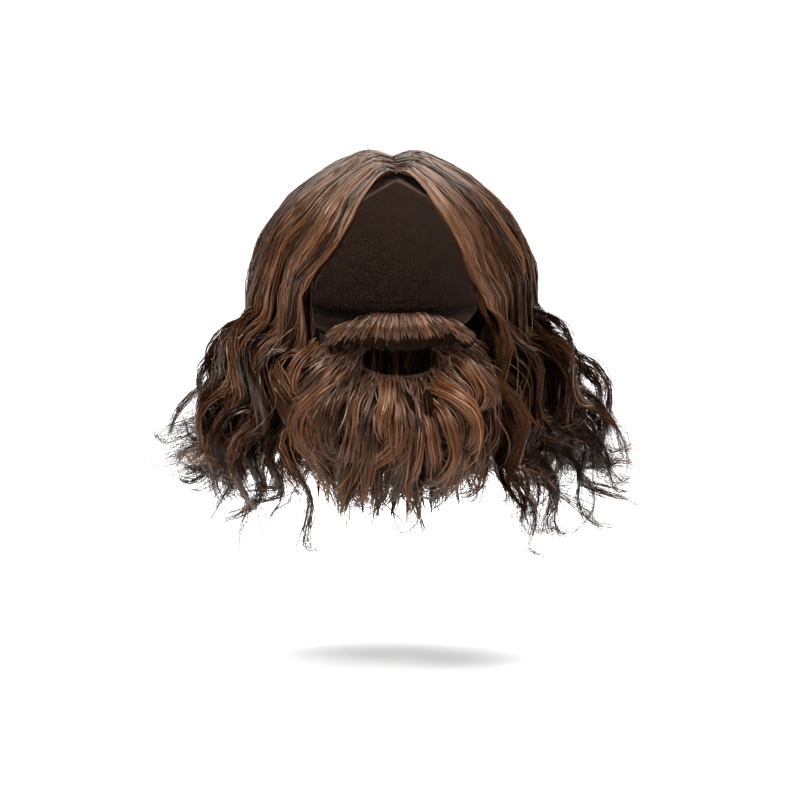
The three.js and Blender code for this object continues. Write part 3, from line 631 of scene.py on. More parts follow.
def walk(start, outward, length, pitch, yaw):
    """Paths walked in equal steps at two angles, with the axes across and out of each.

    A step is outward sin(pitch) - up cos(pitch) cos(yaw) + sideways cos(pitch) sin(yaw), and the
    out axis is its derivative by the pitch. Sideways is up cross outward.
    """
    p, y = np.radians(pitch)[..., None], np.radians(yaw)[..., None]
    outward = outward[:, None, :]
    sideways = np.cross(UP, outward)
    step = outward * np.sin(p) - UP * (np.cos(p) * np.cos(y)) + sideways * (np.cos(p) * np.sin(y))
    out = outward * np.cos(p) + UP * (np.sin(p) * np.cos(y)) - sideways * (np.sin(p) * np.sin(y))
    legs = (step[:, 1:] + step[:, :-1]) / 2 * (length / PATH_STEPS)[:, None, None]
    points = np.concatenate([start[:, None, :], start[:, None, :] + np.cumsum(legs, 1)], 1)
    return points, np.cross(out, step), out


def sample(values, share):
    """Value of each row at each share of its length, linear between its steps."""
    position = np.clip(share, 0, 1) * (values.shape[1] - 1)
    low = np.minimum(position.astype(int), values.shape[1] - 2)
    part = (position - low)[..., None]
    first = np.take_along_axis(values, low[..., None], 1)
    second = np.take_along_axis(values, low[..., None] + 1, 1)
    return mix(first, second, part)


def rings_of(points, corners, shade):
    """Numbers of the points of rings along paths, and their map.

    The map's u is the shade, one for each path or for each corner of it, and v runs from its root
    to its tip.
    """
    count, rings = points.shape[:2]
    index = np.arange(count * rings * corners).reshape(count, rings, corners)
    u = np.broadcast_to(shade.reshape(count, 1, -1), index.shape)
    v = np.broadcast_to(np.linspace(0, 1, rings)[None, :, None], index.shape)
    return index, np.stack([u, v], -1).reshape(-1, 2)


def tubes(points, across, out, width, depth, corners, shade):
    """Closed tubes along paths: each ring is an ellipse of the width across and the depth out."""
    index, uv = rings_of(points, corners, shade)
    angle = np.arange(corners) * 2 * np.pi / corners
    side = (width[..., None] / 2 * np.cos(angle))[..., None] * across[:, :, None, :]
    rise = (depth[..., None] / 2 * np.sin(angle))[..., None] * out[:, :, None, :]
    verts = points[:, :, None, :] + side + rise
    near, far = index[:, :-1], index[:, 1:]
    quads = np.stack([near, np.roll(near, -1, 2), np.roll(far, -1, 2), far], -1).reshape(-1, 4)
    ends = np.concatenate([index[:, 0, ::-1], index[:, -1]])
    return {"verts": verts.reshape(-1, 3), "faces": [quads, ends], "uv": uv}


def ribbons(points, side, up, width, twist, shade):
    """Flat strands along paths, each turned about its path by an angle of its own.

    A strand's two edges lie half a width from its path, along side cos(twist) + up sin(twist).
    """
    index, uv = rings_of(points, 2, shade)
    angle = np.radians(twist)[:, None, None]
    half = (width / 2)[..., None] * (side * np.cos(angle) + up * np.sin(angle))
    verts = np.stack([points + half, points - half], 2)
    near, far = index[:, :-1], index[:, 1:]
    quads = np.stack([near[..., 0], near[..., 1], far[..., 1], far[..., 0]], -1)
    return {"verts": verts.reshape(-1, 3), "faces": [quads.reshape(-1, 4)], "uv": uv, "flat": True}


def slab(outer, inner, uv, wraps):
    """Closed solid between two grids of points, which may wrap round in their second direction."""
    rows, cols = outer.shape[:2]
    index = np.arange(rows * cols).reshape(rows, cols)
    turned = np.concatenate([index, index[:, :1]], 1) if wraps else index
    a, b = turned[:-1, :-1], turned[1:, :-1]
    c, d = turned[1:, 1:], turned[:-1, 1:]
    top = np.stack([a, b, c, d], -1).reshape(-1, 4)
    under = top[:, ::-1] + rows * cols
    edges = [turned[0], turned[-1, ::-1]]
    if not wraps:
        edges += [turned[::-1, 0], turned[:, -1]]
    rims = []
    for edge in edges:
        near, far = edge[:-1], edge[1:]
        rims.append(np.stack([near, far, far + rows * cols, near + rows * cols], -1))
    faces = np.concatenate([top, under, *rims])
    verts = np.concatenate([outer.reshape(-1, 3), inner.reshape(-1, 3)])
    return {"verts": verts, "faces": [faces], "uv": np.concatenate([uv.reshape(-1, 2)] * 2)}


def turned_outwards(patch):
    """The patch with its faces reversed if the volume that they enclose comes out negative.

    Flat strands enclose none, and are made with their faces outwards.
    """
    if "flat" in patch:
        return patch
    volume = 0.0
    for faces in patch["faces"]:
        corner = patch["verts"][faces]
        for k in range(1, faces.shape[1] - 1):
            volume += np.einsum("ij,ij", corner[:, 0], np.cross(corner[:, k], corner[:, k + 1]))
    if volume < 0:
        patch["faces"] = [faces[:, ::-1] for faces in patch["faces"]]
    return patch


def mirrored(patch, side):
    """The patch, mirrored across the middle for the right side."""
    if side == "right":
        patch["verts"] = patch["verts"] * np.array([-1.0, 1.0, 1.0])
        patch["faces"] = [faces[:, ::-1] for faces in patch["faces"]]
    return patch


def add_piece(name, patches, materials, nodes, side="left"):
    """Joins patches into one mesh in metres, and puts it in place of its solids.

    patches is a list of (patch, material number), which is mirrored for the right side.
    """
    verts, loops, totals, kinds, uvs = [], [], [], [], []
    start = 0
    for patch, kind in patches:
        patch = turned_outwards(mirrored(patch, side))
        for faces in patch["faces"]:
            loops.append((faces + start).ravel())
            totals.append(np.full(len(faces), faces.shape[1]))
            kinds.append(np.full(len(faces), kind))
        verts.append(patch["verts"])
        uvs.append(patch["uv"])
        start += len(patch["verts"])
    verts, loops = np.concatenate(verts) * MM, np.concatenate(loops)
    totals, kinds, uvs = np.concatenate(totals), np.concatenate(kinds), np.concatenate(uvs)
    mesh = bpy.data.meshes.new(name)
    mesh.vertices.add(len(verts))
    mesh.vertices.foreach_set("co", verts.astype(np.float32).ravel())
    mesh.loops.add(len(loops))
    mesh.loops.foreach_set("vertex_index", loops.astype(np.int32))
    mesh.polygons.add(len(totals))
    starts = np.concatenate([[0], np.cumsum(totals)[:-1]])
    mesh.polygons.foreach_set("loop_start", starts.astype(np.int32))
    for material in materials:
        mesh.materials.append(material)
    mesh.polygons.foreach_set("material_index", kinds.astype(np.int32))
    mesh.polygons.foreach_set("use_smooth", np.ones(len(totals), bool))
    layer = mesh.uv_layers.new(name=TEXTURE_MAP)
    layer.data.foreach_set("uv", uvs[loops].astype(np.float32).ravel())
    mesh.update(calc_edges=True)
    mesh.validate()
    piece = bpy.data.objects.new(name, mesh)
    bpy.context.scene.collection.objects.link(piece)
    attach(piece, "root")
    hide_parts(*nodes)
    return piece


def crown_points(place, along, lift, fall):
    """Points over the crown, kept off the line of the parting."""
    points = head_point(flow_direction(place, along, fall), lift)
    points[..., 0] = np.maximum(points[..., 0], PARTING_LINE / 2)
    return points


def root_rise(along):
    """Share of its depth that the hair has: it rises from the parting within a few millimetres."""
    return mix(ROOT_DEPTH, 1, smoothstep(along, 0, ROOT_RISE))


def kept_in_box(points):
    """Points past the soft box are drawn back: what is over it goes through a tangent curve."""
    over = np.maximum(points - SOFT_HIGH, 0)
    under = np.maximum(SOFT_LOW - points, 0)
    drawn = SOFT_ROOM * (np.tanh(over / SOFT_ROOM) - np.tanh(under / SOFT_ROOM))
    return points - over + under + drawn


def between_rows(table, along, at):
    """All columns of a table at places between its rows."""
    rows = {name: read_table(table, along, at, name) for name in table}
    rows[along] = at
    return rows


def near_rows(table, turn, level):
    """All columns of a beard table at places between its rows.

    A row weighs by its squared distance plus 0.05, to the power of -1.5, and distances count in
    turns of 10 degrees and in shares of 0.07 of level.
    """
    turns_apart = (turn[:, None] - table["turn"]) / 10
    levels_apart = (level[:, None] - table["level"]) / 0.07
    weight = 1 / (turns_apart**2 + levels_apart**2 + 0.05) ** 1.5
    weight /= weight.sum(1, keepdims=True)
    rows = {name: weight @ values for name, values in table.items()}
    rows["turn"], rows["level"] = turn, level
    return rows


def joined_rows(*tables):
    """Tables of the same columns, one under the other."""
    return {name: np.concatenate([table[name] for table in tables]) for name in tables[0]}


def mirror_rows(table):
    """A beard table for the other side: turn, lean and curl change sign."""
    changing = ("turn", "lean", "curl")
    return {name: -values if name in changing else values for name, values in table.items()}


def crimped(rows, which, rng):
    """Rows of strands with the finer wave of their tuft: its angle and its phase."""
    count, tufts = len(which), which.max() + 1
    phase = rng.random(tufts)[which] + rng.normal(0, CRIMP_PHASE_SPREAD, count)
    return rows | {"crimp": rng.uniform(*CRIMP_ANGLES, tufts)[which], "crimp_phase": phase}


def loosened(rows, which, amounts, rng):
    """Rows of tufts repeated for their strands, each column with its own amount of difference.

    amounts gives, for a column, how much tufts differ and how much the strands of one tuft do.
    A few strays differ several times as much. The strands of a tuft also share a finer wave.
    """
    stray = np.where(rng.random(len(which)) < STRAY_SHARE, STRAY_AMOUNT, 1.0)
    loose = {}
    for name, values in rows.items():
        of_tuft, of_strand = amounts.get(name, (0.0, 0.0))
        differing = values + rng.normal(0, 1, len(values)) * of_tuft
        loose[name] = differing[which] + rng.normal(0, 1, len(which)) * of_strand * stray
    return crimped(loose, which, rng)


def cut_lengths(count, shortest, rng):
    """Share of its tuft's path at which each strand ends, so that a tuft runs out in a point.

    It is 1 less a random value to the power of 1.6, scaled to reach the shortest share.
    """
    return 1 - (1 - shortest) * rng.random(count) ** 1.6


def spread_in_tuft(count, kind, rng):
    """Distances of strands from their tuft's middle, across and out, and the share each ends at."""
    aside = rng.uniform(-kind["half_width"], kind["half_width"], count)
    beyond = rng.normal(0, kind["spread"], count)
    return aside, beyond, cut_lengths(count, kind["shortest"], rng)


def tuft_shades(middle, kind, which, rng):
    """Shade of each strand: a middle one, plus its tuft's difference, plus its own."""
    of_tuft, of_strand = kind["shades"]
    tufts = middle + rng.normal(0, of_tuft, which.max() + 1)
    return tufts[which] + rng.normal(0, of_strand, len(which))


def gathered(share, loose, tip):
    """Share of its width that a tuft has: full to 0.4 of its length, drawn together at its tip."""
    return loose * mix(1, tip, smoothstep(share, 0.4, 1))


def strand_widths(rings, count, width, rng):
    """Widths of strands: 0.7 of the full one at the root, full in the middle and 0.4 at the tip.

    Each strand's full width is from 0.6 to 1.3 of the given one.
    """
    share = np.linspace(0, 1, rings)[None, :]
    form = mix(0.7, 1, smoothstep(share, 0, 0.15)) * mix(1, 0.4, smoothstep(share, 0.7, 1))
    return width * form * rng.uniform(0.6, 1.3, count)[:, None]


def strands_on(points, side, up, width, shade, rng):
    """Flat strands on paths, each with its own width and twist."""
    count, rings = points.shape[:2]
    widths = strand_widths(rings, count, width, rng)
    twist = rng.normal(0, STRAND_TWIST, count)
    return ribbons(points, side, up, widths, twist, np.clip(shade, 0.02, 0.98))


def fluted(points, side, up, size, form, rng):
    """Closed bodies under the strands in painted shade, with streaks of their own for each.

    size is the width and the depth, and form their share at each ring.
    """
    shade = rng.uniform(0.0, PAINTED_SHADOW_SHADE, (len(points), CORE_CORNERS))
    width, depth = size
    return tubes(points, side, up, width * form, depth * form, CORE_CORNERS, shade)


def painted_shadow_map(streaks, share):
    """Map of a layer in painted shade: its shade goes up and down with the sine of the streaks."""
    return np.stack([PAINTED_SHADOW_SHADE + 0.04 * np.sin(streaks), share], -1)


def waves_along(rows, length):
    """What the angles along hanging paths are made of.

    Returns the share of the path at its steps, the rows as columns, the turn of the tuft's wave,
    and the angles up and across of its finer wave, which are 0 in rows without one.
    """
    share = np.linspace(0, 1, PATH_STEPS + 1)[None, :]
    column = {name: values[:, None] for name, values in rows.items()}
    walked = share * length[:, None]
    wave = 2 * np.pi * (walked / WAVE_LENGTH + column["phase"])
    if "crimp" not in column:
        return share, column, wave, 0.0, 0.0
    turn = 2 * np.pi * (walked / CRIMP_LENGTH + column["crimp_phase"])
    ease = column["crimp"] * smoothstep(share, 0, CRIMP_EASE)
    return share, column, wave, ease * np.sin(turn), ease * np.cos(turn)


def moved_aside(points, across, out, aside, beyond, cut, rings):
    """Paths moved off their tuft's middle, which they near again at its tip, and their axes.

    cut is the share of the path at which each ends.
    """
    at = np.linspace(0, 1, rings)[None, :] * cut[:, None]
    side, up = sample(across, at), sample(out, at)
    off_side = side * gathered(at, aside[:, None], TIP_SPREAD)[..., None]
    off_out = up * gathered(at, beyond[:, None], TIP_SPREAD)[..., None]
    return kept_in_box(sample(points, at) + off_side + off_out), side, up


def wig_angles(rows, length):
    """Pitch and yaw along hanging hair.

    The pitch is the flare, which settles in and sinks, plus the sine of the wave, plus the hook at
    the tip. The yaw is the lean plus the cosine of the wave, plus the curl at the tip.
    """
    share, column, wave, crimp, cross_crimp = waves_along(rows, length)
    settled = smoothstep(share, 0, column["settle"] if "settle" in column else SETTLE_END)
    swing = column["swing"] * settled
    pitch = (
        column["flare"] * settled * mix(1, FLARE_LEFT, smoothstep(share, *FLARE_SINKS))
        + swing * np.sin(wave)
        + column["hook"] * smoothstep(share, HOOK_START, 1)
        + crimp
    )
    yaw = (
        column["lean"]
        + SIDEWAYS_SWING * swing * np.cos(wave)
        + column["curl"] * smoothstep(share, CURL_START, 1)
        + cross_crimp
    )
    return pitch, yaw


def wig_paths(rows, strand, fall, rng=None):
    """Paths over the crown and down the hanging hair, with their axes and their share of the fall.

    strand holds, for each path, its place at the parting, its height in the hair's depth at the
    root and lower down, from -1 to 1, its two distances from its tuft's middle, the share of the
    crown at which it starts, and the share of the fall at which it ends. On the crown a strand
    swings to the side with its tuft's wave and ripples with its finer one. Where crown and fall
    meet, the distance between the two is taken up over the first part of the fall.
    """
    length = rows["hang"] * HAIR_DROP
    count = len(length)
    place_below, phase = rows["place"][:, None], rows["phase"][:, None]
    ear_depth = hair_depth(rows["place"], 1.0)
    start = head_point(flow_direction(rows["place"], np.ones(count), fall), HAIR_BASE + ear_depth / 2)
    outward = direction(mix(FACE_TURN, 180.0, rows["place"]), 90.0)
    points, across, out = walk(start, outward, length, *wig_angles(rows, length))

    ring = np.arange(CROWN_RINGS + FALL_RINGS)[None, :]
    on_crown = ring < CROWN_RINGS
    shift = np.zeros((count, 1))
    if rng is not None:
        shift = rng.uniform(-RING_SHIFT, RING_SHIFT, (count, 1))
    crown_ring = ring + shift * (on_crown & (ring > 0))
    along = np.where(on_crown, mix(strand["first"][:, None], 1, crown_ring / CROWN_RINGS), 1.0)
    share = np.clip((ring - CROWN_RINGS) / (FALL_RINGS - 1), 0, 1) * strand["cut"][:, None]

    def rise_at(settle):
        return mix(strand["root_out"][:, None], strand["out"][:, None], settle)

    def crown_at(along, settle):
        in_tuft = place_below + strand["aside"][:, None] / PLACE_SPAN
        place = mix(strand["root_place"][:, None], in_tuft, settle)
        wave = 2 * np.pi * (along * CROWN_LENGTH / WAVE_LENGTH + phase)
        place = place + CROWN_SWING * smoothstep(along, *SWING_COMES) * np.sin(wave)
        place = np.clip(place, 0, LAST_PLACE)
        fine_wave = 2 * np.pi * (along * CROWN_LENGTH / RIPPLE_LENGTH + 3 * phase)
        ripple = RIPPLE_HEIGHT * smoothstep(along, *RIPPLE_COMES) * np.sin(fine_wave)
        depth = hair_depth(place, along) * root_rise(along)
        lift = HAIR_BASE + depth * (1 + rise_at(settle)) / 2 + ripple
        return crown_points(place, along, lift, fall)

    def fall_at(share, settle):
        depth = mix(ear_depth[:, None], LOCK_THICKNESS, smoothstep(share, 0, THICKNESS_COMES))
        narrow = mix(1, TIP_THICKNESS, smoothstep(share, 0.5, 1))
        beyond = gathered(share, strand["beyond"][:, None], WIG_TIP_DEPTH)
        beyond = rise_at(settle) * depth / 2 * narrow + beyond
        aside = gathered(share, strand["aside"][:, None], WIG_TIP_WIDTH)
        return (
            sample(points, share)
            + sample(across, share) * aside[..., None]
            + sample(out, share) * beyond[..., None]
        )

    settle = smoothstep(along + share, *TUFT_COMES)
    meeting = np.full((count, 1), smoothstep(1.0, *TUFT_COMES))
    gap = crown_at(np.ones_like(meeting), meeting) - fall_at(np.zeros_like(meeting), meeting)
    fade = (1 - smoothstep(share, 0, GAP_GOES))[..., None]
    hanging = fall_at(share, settle) + gap * fade
    joined = np.where(on_crown[..., None], crown_at(along, settle), hanging)
    fallen = keep_between(joined, *SIDE_SECTOR)
    joined = kept_in_box(mix(joined, fallen, smoothstep(share, 0, SECTOR_COMES)[..., None]))

    tangent = np.gradient(joined, axis=1)
    tangent /= np.maximum(np.linalg.norm(tangent, axis=-1, keepdims=True), 1e-6)
    head_out = joined - HEAD_CENTRE
    head_out /= np.linalg.norm(head_out, axis=-1, keepdims=True)
    side = np.cross(np.where(on_crown[..., None], head_out, sample(out, share)), tangent)
    side /= np.maximum(np.linalg.norm(side, axis=-1, keepdims=True), 1e-6)
    return joined, side, np.cross(tangent, side), share


def wig_strands(table, region, fall, per_tuft, width, rng):
    """Strands of one region: evenly spread on the crown, and gathered in wavy tufts below.

    Tufts lie side by side in layers, each somewhere in the middle half of its share of the region,
    and take their form from the table of locks at their place. Deeper layers are drawn darker, as
    painted shade of the hair's depth.
    """
    kind = TUFT_KINDS["wig"]
    layer = np.repeat(np.arange(len(TUFT_LAYERS["tufts"])), TUFT_LAYERS["tufts"].astype(int))
    order = np.concatenate([np.arange(count) for count in TUFT_LAYERS["tufts"]])
    tufts = len(layer)
    pitch = (region[1] - region[0]) / TUFT_LAYERS["tufts"][layer]
    place = region[0] + (order + rng.uniform(0.25, 0.75, tufts)) * pitch
    rows = between_rows(table, "place", place)
    rows["swing"] = rows["swing"] + kind["swing"]
    rows["hook"] = rows["hook"] * np.where(rng.random(tufts) < OUTWARD_HOOKS, OUTWARD_HOOK, INWARD_HOOK)
    rows["hang"] = rows["hang"] * rng.uniform(*TUFT_HANG, tufts)
    rows["flare"] = rows["flare"] * rng.uniform(*TUFT_FLARE, tufts)
    rows["settle"] = rng.uniform(*TUFT_SETTLE, tufts)
    rows["curl"] = np.zeros(tufts)
    which = np.repeat(np.arange(tufts), per_tuft)
    count = len(which)
    loose = loosened(rows, which, WIG_AMOUNTS, rng)
    out = rng.uniform(TUFT_LAYERS["low"][layer], TUFT_LAYERS["high"][layer])
    outer = layer[which] == 0
    first = TUFT_LAYERS["first"][layer][which]
    late = first + rng.uniform(0, LATE_START, count) * (1 - first)
    root = place[which] + rng.uniform(-ROOT_SPREAD, ROOT_SPREAD, count) * pitch[which]
    strand = {
        "root_place": np.clip(root, *region),
        "root_out": np.where(
            outer, rng.uniform(*OUTER_ROOTS, count), rng.uniform(*INNER_ROOTS, count)
        ),
        "out": out[which],
        "aside": rng.uniform(-1, 1, count) * rng.uniform(*kind["half_width"], tufts)[which],
        "beyond": rng.normal(0, kind["spread"], count),
        "first": np.where(rng.random(count) < EARLY_STARTS, first, late),
        "cut": cut_lengths(count, kind["shortest"], rng),
    }
    points, side, up, _ = wig_paths(loose, strand, fall, rng)
    # Deeper layers have lower shades: painted shade of the hair's depth
    shade = tuft_shades(TUFT_LAYERS["shade"][layer], kind, which, rng)
    return strands_on(points, side, up, width, shade, rng)


def flick_strands(table, region, fall, per_flick, width, rng):
    """Strands of the slimmer tufts that spring out of the hair at ear level."""
    kind = TUFT_KINDS["flick"]
    inside = (table["place"] >= region[0]) & (table["place"] < region[1])
    rows = {name: np.repeat(values[inside], TUFTS_IN_FLICK) for name, values in table.items()}
    tufts = len(rows["place"])
    rows["curl"] = np.zeros(tufts)
    rows["settle"] = np.full(tufts, FLICK_SETTLE)
    which = np.repeat(np.arange(tufts), per_flick)
    out = rng.uniform(0, 1, tufts)[which]
    aside, beyond, cut = spread_in_tuft(len(which), kind, rng)
    strand = {
        "root_place": rows["place"][which],
        "root_out": out,
        "out": out,
        "aside": aside,
        "beyond": beyond,
        "first": np.full_like(cut, FLICK_FIRST),
        "cut": cut,
    }
    loose = loosened(rows, which, WIG_AMOUNTS, rng)
    points, side, up, _ = wig_paths(loose, strand, fall, rng)
    shade = tuft_shades(kind["shade"], kind, which, rng)
    return strands_on(points, side, up, width, shade, rng)


def loose_arcs(table, region, fall, count, width, rng):
    """Single fine strands that stand off the hair in wide arcs."""
    rows = between_rows(table, "place", rng.uniform(*region, count))
    drawn = {name: rng.uniform(*limits, count) for name, limits in ARC_LIMITS.items()}
    drawn["flare"] += ARC_FLARE * rows["flare"]
    drawn["settle"] = np.full(count, ARC_SETTLE)
    drawn["curl"] = rng.normal(0, ARC_CURL, count)
    strand = {
        "root_place": rows["place"],
        "root_out": np.full(count, ARC_ROOT),
        "out": rng.uniform(*ARC_HEIGHTS, count),
        "aside": np.zeros(count),
        "beyond": np.zeros(count),
        "first": rng.uniform(*ARC_STARTS, count),
        "cut": np.ones(count),
    }
    arcs = crimped(rows | drawn, np.arange(count), rng)
    points, side, up, _ = wig_paths(arcs, strand, fall, rng)
    return strands_on(points, side, up, width * ARC_WIDTH, rng.uniform(*ARC_SHADES, count), rng)


def wig_cores(table, region, fall, rng):
    """Bodies that close the hanging hair under its strands, in two layers.

    Each grows to its full size over the first part of its path and tapers over the last.
    """
    near, layer = grid(np.linspace(*CORE_PLACES), CORE_HEIGHTS)
    place, out = mix(max(region[0], CORE_FIRST), region[1], near.ravel()), layer.ravel()
    rows = between_rows(table, "place", place)
    rows["hang"] = rows["hang"] * CORE_HANG
    rows["flare"] = rows["flare"] * CORE_FLARE
    rows["swing"] = rows["swing"] + CORE_SWING
    none = np.zeros_like(place)
    rows["curl"] = none
    strand = {
        "root_place": place,
        "root_out": out,
        "out": out,
        "aside": none,
        "beyond": none,
        "first": none + CORE_START,
        "cut": none + 1,
    }
    points, side, up, share = wig_paths(rows, strand, fall)
    grown = mix(0.45, 1, smoothstep(share, 0, 0.12))
    form = grown * np.maximum(1 - smoothstep(share, 0.4, 1), CORE_TIP)
    return fluted(points, side, up, CORE_SIZES["wig"], form, rng)


def crown_shell(region, fall):
    """Layer in painted shade under the strands of one region, from the parting down to ear level.

    It reaches up to a share of the hair's depth. Beside the face it starts behind the edge of the
    strands, and its edge is thin.
    """
    first = max(region[0], SHELL_FIRST)
    place, along = grid(np.linspace(first, region[1], 24), np.linspace(0, 1.0, 26))
    depth = hair_depth(place, along) * root_rise(along)
    lift = HAIR_BASE + depth * SHELL_DEPTH
    thick = smoothstep(place, SHELL_FIRST, SHELL_THICK)
    outer = crown_points(place, along, lift, fall)
    inner = crown_points(place, along, mix(lift - SHELL_EDGE, HAIR_BASE - SHELL_SINK, thick), fall)
    return slab(outer, inner, painted_shadow_map(place * SHELL_STREAKS, along), False)


def nape_paths(rows, aside, beyond, cut, rings):
    """Paths of the curls under the back hair, with their axes.

    The pitch is the sine of the wave, which grows towards the tip, plus the hook at the tip, less
    the tuck towards the neck. The yaw is the lean plus the cosine of the wave.
    """
    length = rows["hang"] * HAIR_DROP
    roots = direction(rows["turn"], NAPE_TILT)
    start = head_point(roots, np.full_like(length, HAIR_BASE + NAPE_HAIR / 2))
    share, column, wave, crimp, cross_crimp = waves_along(rows, length)
    hook = column["hook"] * smoothstep(share, NAPE_HOOK_START, 1)
    pitch = column["swing"] * share * np.sin(wave) + hook - NAPE_TUCK + crimp
    yaw = column["lean"] + column["swing"] * share * np.cos(wave) + cross_crimp
    points, across, out = walk(start, direction(rows["turn"], 90.0), length, pitch, yaw)
    return moved_aside(points, across, out, aside, beyond, cut, rings)


def nape_hair(width, rng):
    """Strands and bodies of the curls under the back hair of one side.

    A body's size is 1 less 0.9 of its share of the length squared.
    """
    kind = TUFT_KINDS["nape"]
    rows = between_rows(NAPE_CURLS, "turn", np.linspace(130, 180, NAPE_TUFTS))
    rows["swing"] = rows["swing"] + kind["swing"]
    which = np.repeat(np.arange(NAPE_TUFTS), NAPE_TUFT_STRANDS)
    loose = loosened(rows, which, WIG_AMOUNTS, rng)
    aside, beyond, cut = spread_in_tuft(len(which), kind, rng)
    points, side, up = nape_paths(loose, aside, beyond, cut, NAPE_RINGS)
    shade = tuft_shades(kind["shade"], kind, which, rng)
    strands = strands_on(points, side, up, width, shade, rng)
    rows = between_rows(NAPE_CURLS, "turn", np.linspace(131, 179, NAPE_TUFTS // 2))
    none = np.zeros_like(rows["turn"])
    points, side, up = nape_paths(rows, none, none, none + 1, CORE_RINGS)
    form = np.broadcast_to(1 - 0.9 * np.linspace(0, 1, CORE_RINGS) ** 2, points.shape[:2])
    return [(strands, 0), (fluted(points, side, up, CORE_SIZES["nape"], form, rng), 1)]


def beard_paths(rows, lift, aside, beyond, cut, sector, rings):
    """Paths of beard hair: it grows outwards, falls, and curls at the end.

    The pitch is the rise, which goes over the first half, plus the sine of the wave, which grows
    towards the tip, plus the hook. The yaw goes from the lean to the curl, plus the cosine of the
    wave.
    """
    length = rows["length"] * BEARD_DROP
    start = face_point(rows["turn"], rows["level"], BEARD_BASE + lift)
    share, column, wave, crimp, cross_crimp = waves_along(rows, length)
    pitch = (
        column["rise"] * (1 - smoothstep(share, 0, BEARD_FALLS))
        + column["swing"] * share * np.sin(wave)
        + column["hook"] * smoothstep(share, BEARD_HOOK_START, 1)
        + crimp
    )
    bend = mix(column["lean"], column["curl"], smoothstep(share, *BEARD_BENDS))
    yaw = bend + column["swing"] * share * np.cos(wave) + cross_crimp
    points, across, out = walk(start, direction(rows["turn"], 90.0), length, pitch, yaw)
    points, side, up = moved_aside(points, across, out, aside, beyond, cut, rings)
    return keep_between(points, *sector), side, up


def coat_levels(turn, share):
    """Levels on the net at a share of the way from the upper to the lower edge of its short hair."""
    top = read_table(BEARD_COAT, "turn", np.abs(turn), "top")
    bottom = read_table(BEARD_COAT, "turn", np.abs(turn), "bottom")
    return mix(top, bottom, share)


def beard_strands(table, low, high, tufts, per_tuft, width, rng):
    """Beard tufts between two turns, some standing out and some lying under them in painted shade."""
    kind = TUFT_KINDS["beard"]
    turn = mix(low, high, (np.arange(tufts) + rng.random(tufts)) / tufts)
    level = coat_levels(turn, rng.permutation(np.linspace(0, 1, tufts)))
    stand = rng.uniform(0, 1, tufts)
    rows = near_rows(table, turn, level)
    rows["rise"] = rows["rise"] * mix(*BEARD_RISE, stand)
    rows["length"] = rows["length"] * rng.uniform(*BEARD_LENGTH, tufts)
    rows["swing"] = rows["swing"] + kind["swing"]
    rows["hook"] = rows["hook"] * BEARD_HOOK
    which = np.repeat(np.arange(tufts), per_tuft)
    loose = loosened(rows, which, BEARD_AMOUNTS, rng)
    lift = rng.uniform(0.2, 1, len(which)) * UNDERCOAT
    sector = (low - TUFT_OVERLAP, min(high + TUFT_OVERLAP, FACE_TURN + 2))
    aside, beyond, cut = spread_in_tuft(len(which), kind, rng)
    points, side, up = beard_paths(loose, lift, aside, beyond, cut, sector, BEARD_RINGS)
    # Tufts that lie flatter under the others are darker: painted shade
    shade = tuft_shades(mix(*BEARD_SHADES, stand), kind, which, rng)
    return strands_on(points, side, up, width, shade, rng)


def beard_cores(table, low, high, cores_across, rng):
    """Bodies that close the beard between two turns under its strands.

    Each grows over its first quarter, and tapers with 1 less the square of its share.
    """
    turns = np.linspace(low + CORE_INSET, high - CORE_INSET, cores_across)
    turn, share = grid(turns, BEARD_CORE_LEVELS)
    turn = turn.ravel()
    rows = near_rows(table, turn, coat_levels(turn, share.ravel()))
    rows["rise"] = rows["rise"] * BEARD_CORE_RISE
    rows["length"] = rows["length"] * BEARD_CORE_LENGTH
    none = np.zeros_like(turn)
    lift = none + BEARD_CORE_LIFT * UNDERCOAT
    points, side, up = beard_paths(rows, lift, none, none, none + 1, (low, high), CORE_RINGS)
    share = np.broadcast_to(np.linspace(0, 1, CORE_RINGS), points.shape[:2])
    form = mix(0.5, 1, smoothstep(share, 0, 0.25)) * np.maximum(1 - share**2, 0.06)
    return fluted(points, side, up, CORE_SIZES["beard"], form, rng)


def coat_shell(low, high):
    """Layer of short hair over the net between two turns, in painted shade.

    Its depth follows half a sine from its upper to its lower edge, so that the edges are thin.
    """
    turn, share = grid(np.linspace(low, high, 28), np.linspace(0, 1, 14))
    depth = UNDERCOAT * mix(*COAT_DEPTHS, np.sin(np.pi * share))
    level = coat_levels(turn, share)
    outer = face_point(turn, level, BEARD_BASE + depth)
    inner = face_point(turn, level, np.full_like(turn, BEARD_BASE - COAT_SINK))
    return slab(outer, inner, painted_shadow_map(turn * COAT_STREAKS, share), False)


def short_strands(turn, level, lift, length, sweep, width, rng):
    """Short strands from roots on the net, which grow outwards, turn down and bend a little.

    The pitch is a random rise that goes down to a tenth of itself, less a random droop that comes
    in over the second half. The yaw is the sweep, a difference of its own and a bend.
    """
    count = len(turn)
    start = face_point(turn, level, lift)
    share = np.linspace(0, 1, PATH_STEPS + 1)[None, :]
    rise = rng.uniform(*SHORT_RISE, count)[:, None] * (1 - 0.9 * share)
    pitch = rise - rng.uniform(0, SHORT_DROOP, count)[:, None] * smoothstep(share, 0.4, 1)
    bend = rng.normal(0, SHORT_BEND, count)[:, None] * share
    yaw = (sweep + rng.normal(0, SHORT_SPREAD, count))[:, None] + bend
    points, across, out = walk(start, direction(turn, 90.0), length, pitch, yaw)
    none = np.zeros(count)
    points, side, up = moved_aside(points, across, out, none, none, none + 1, SHORT_RINGS)
    return strands_on(points, side, up, width, rng.normal(*SHORT_SHADES, count), rng)


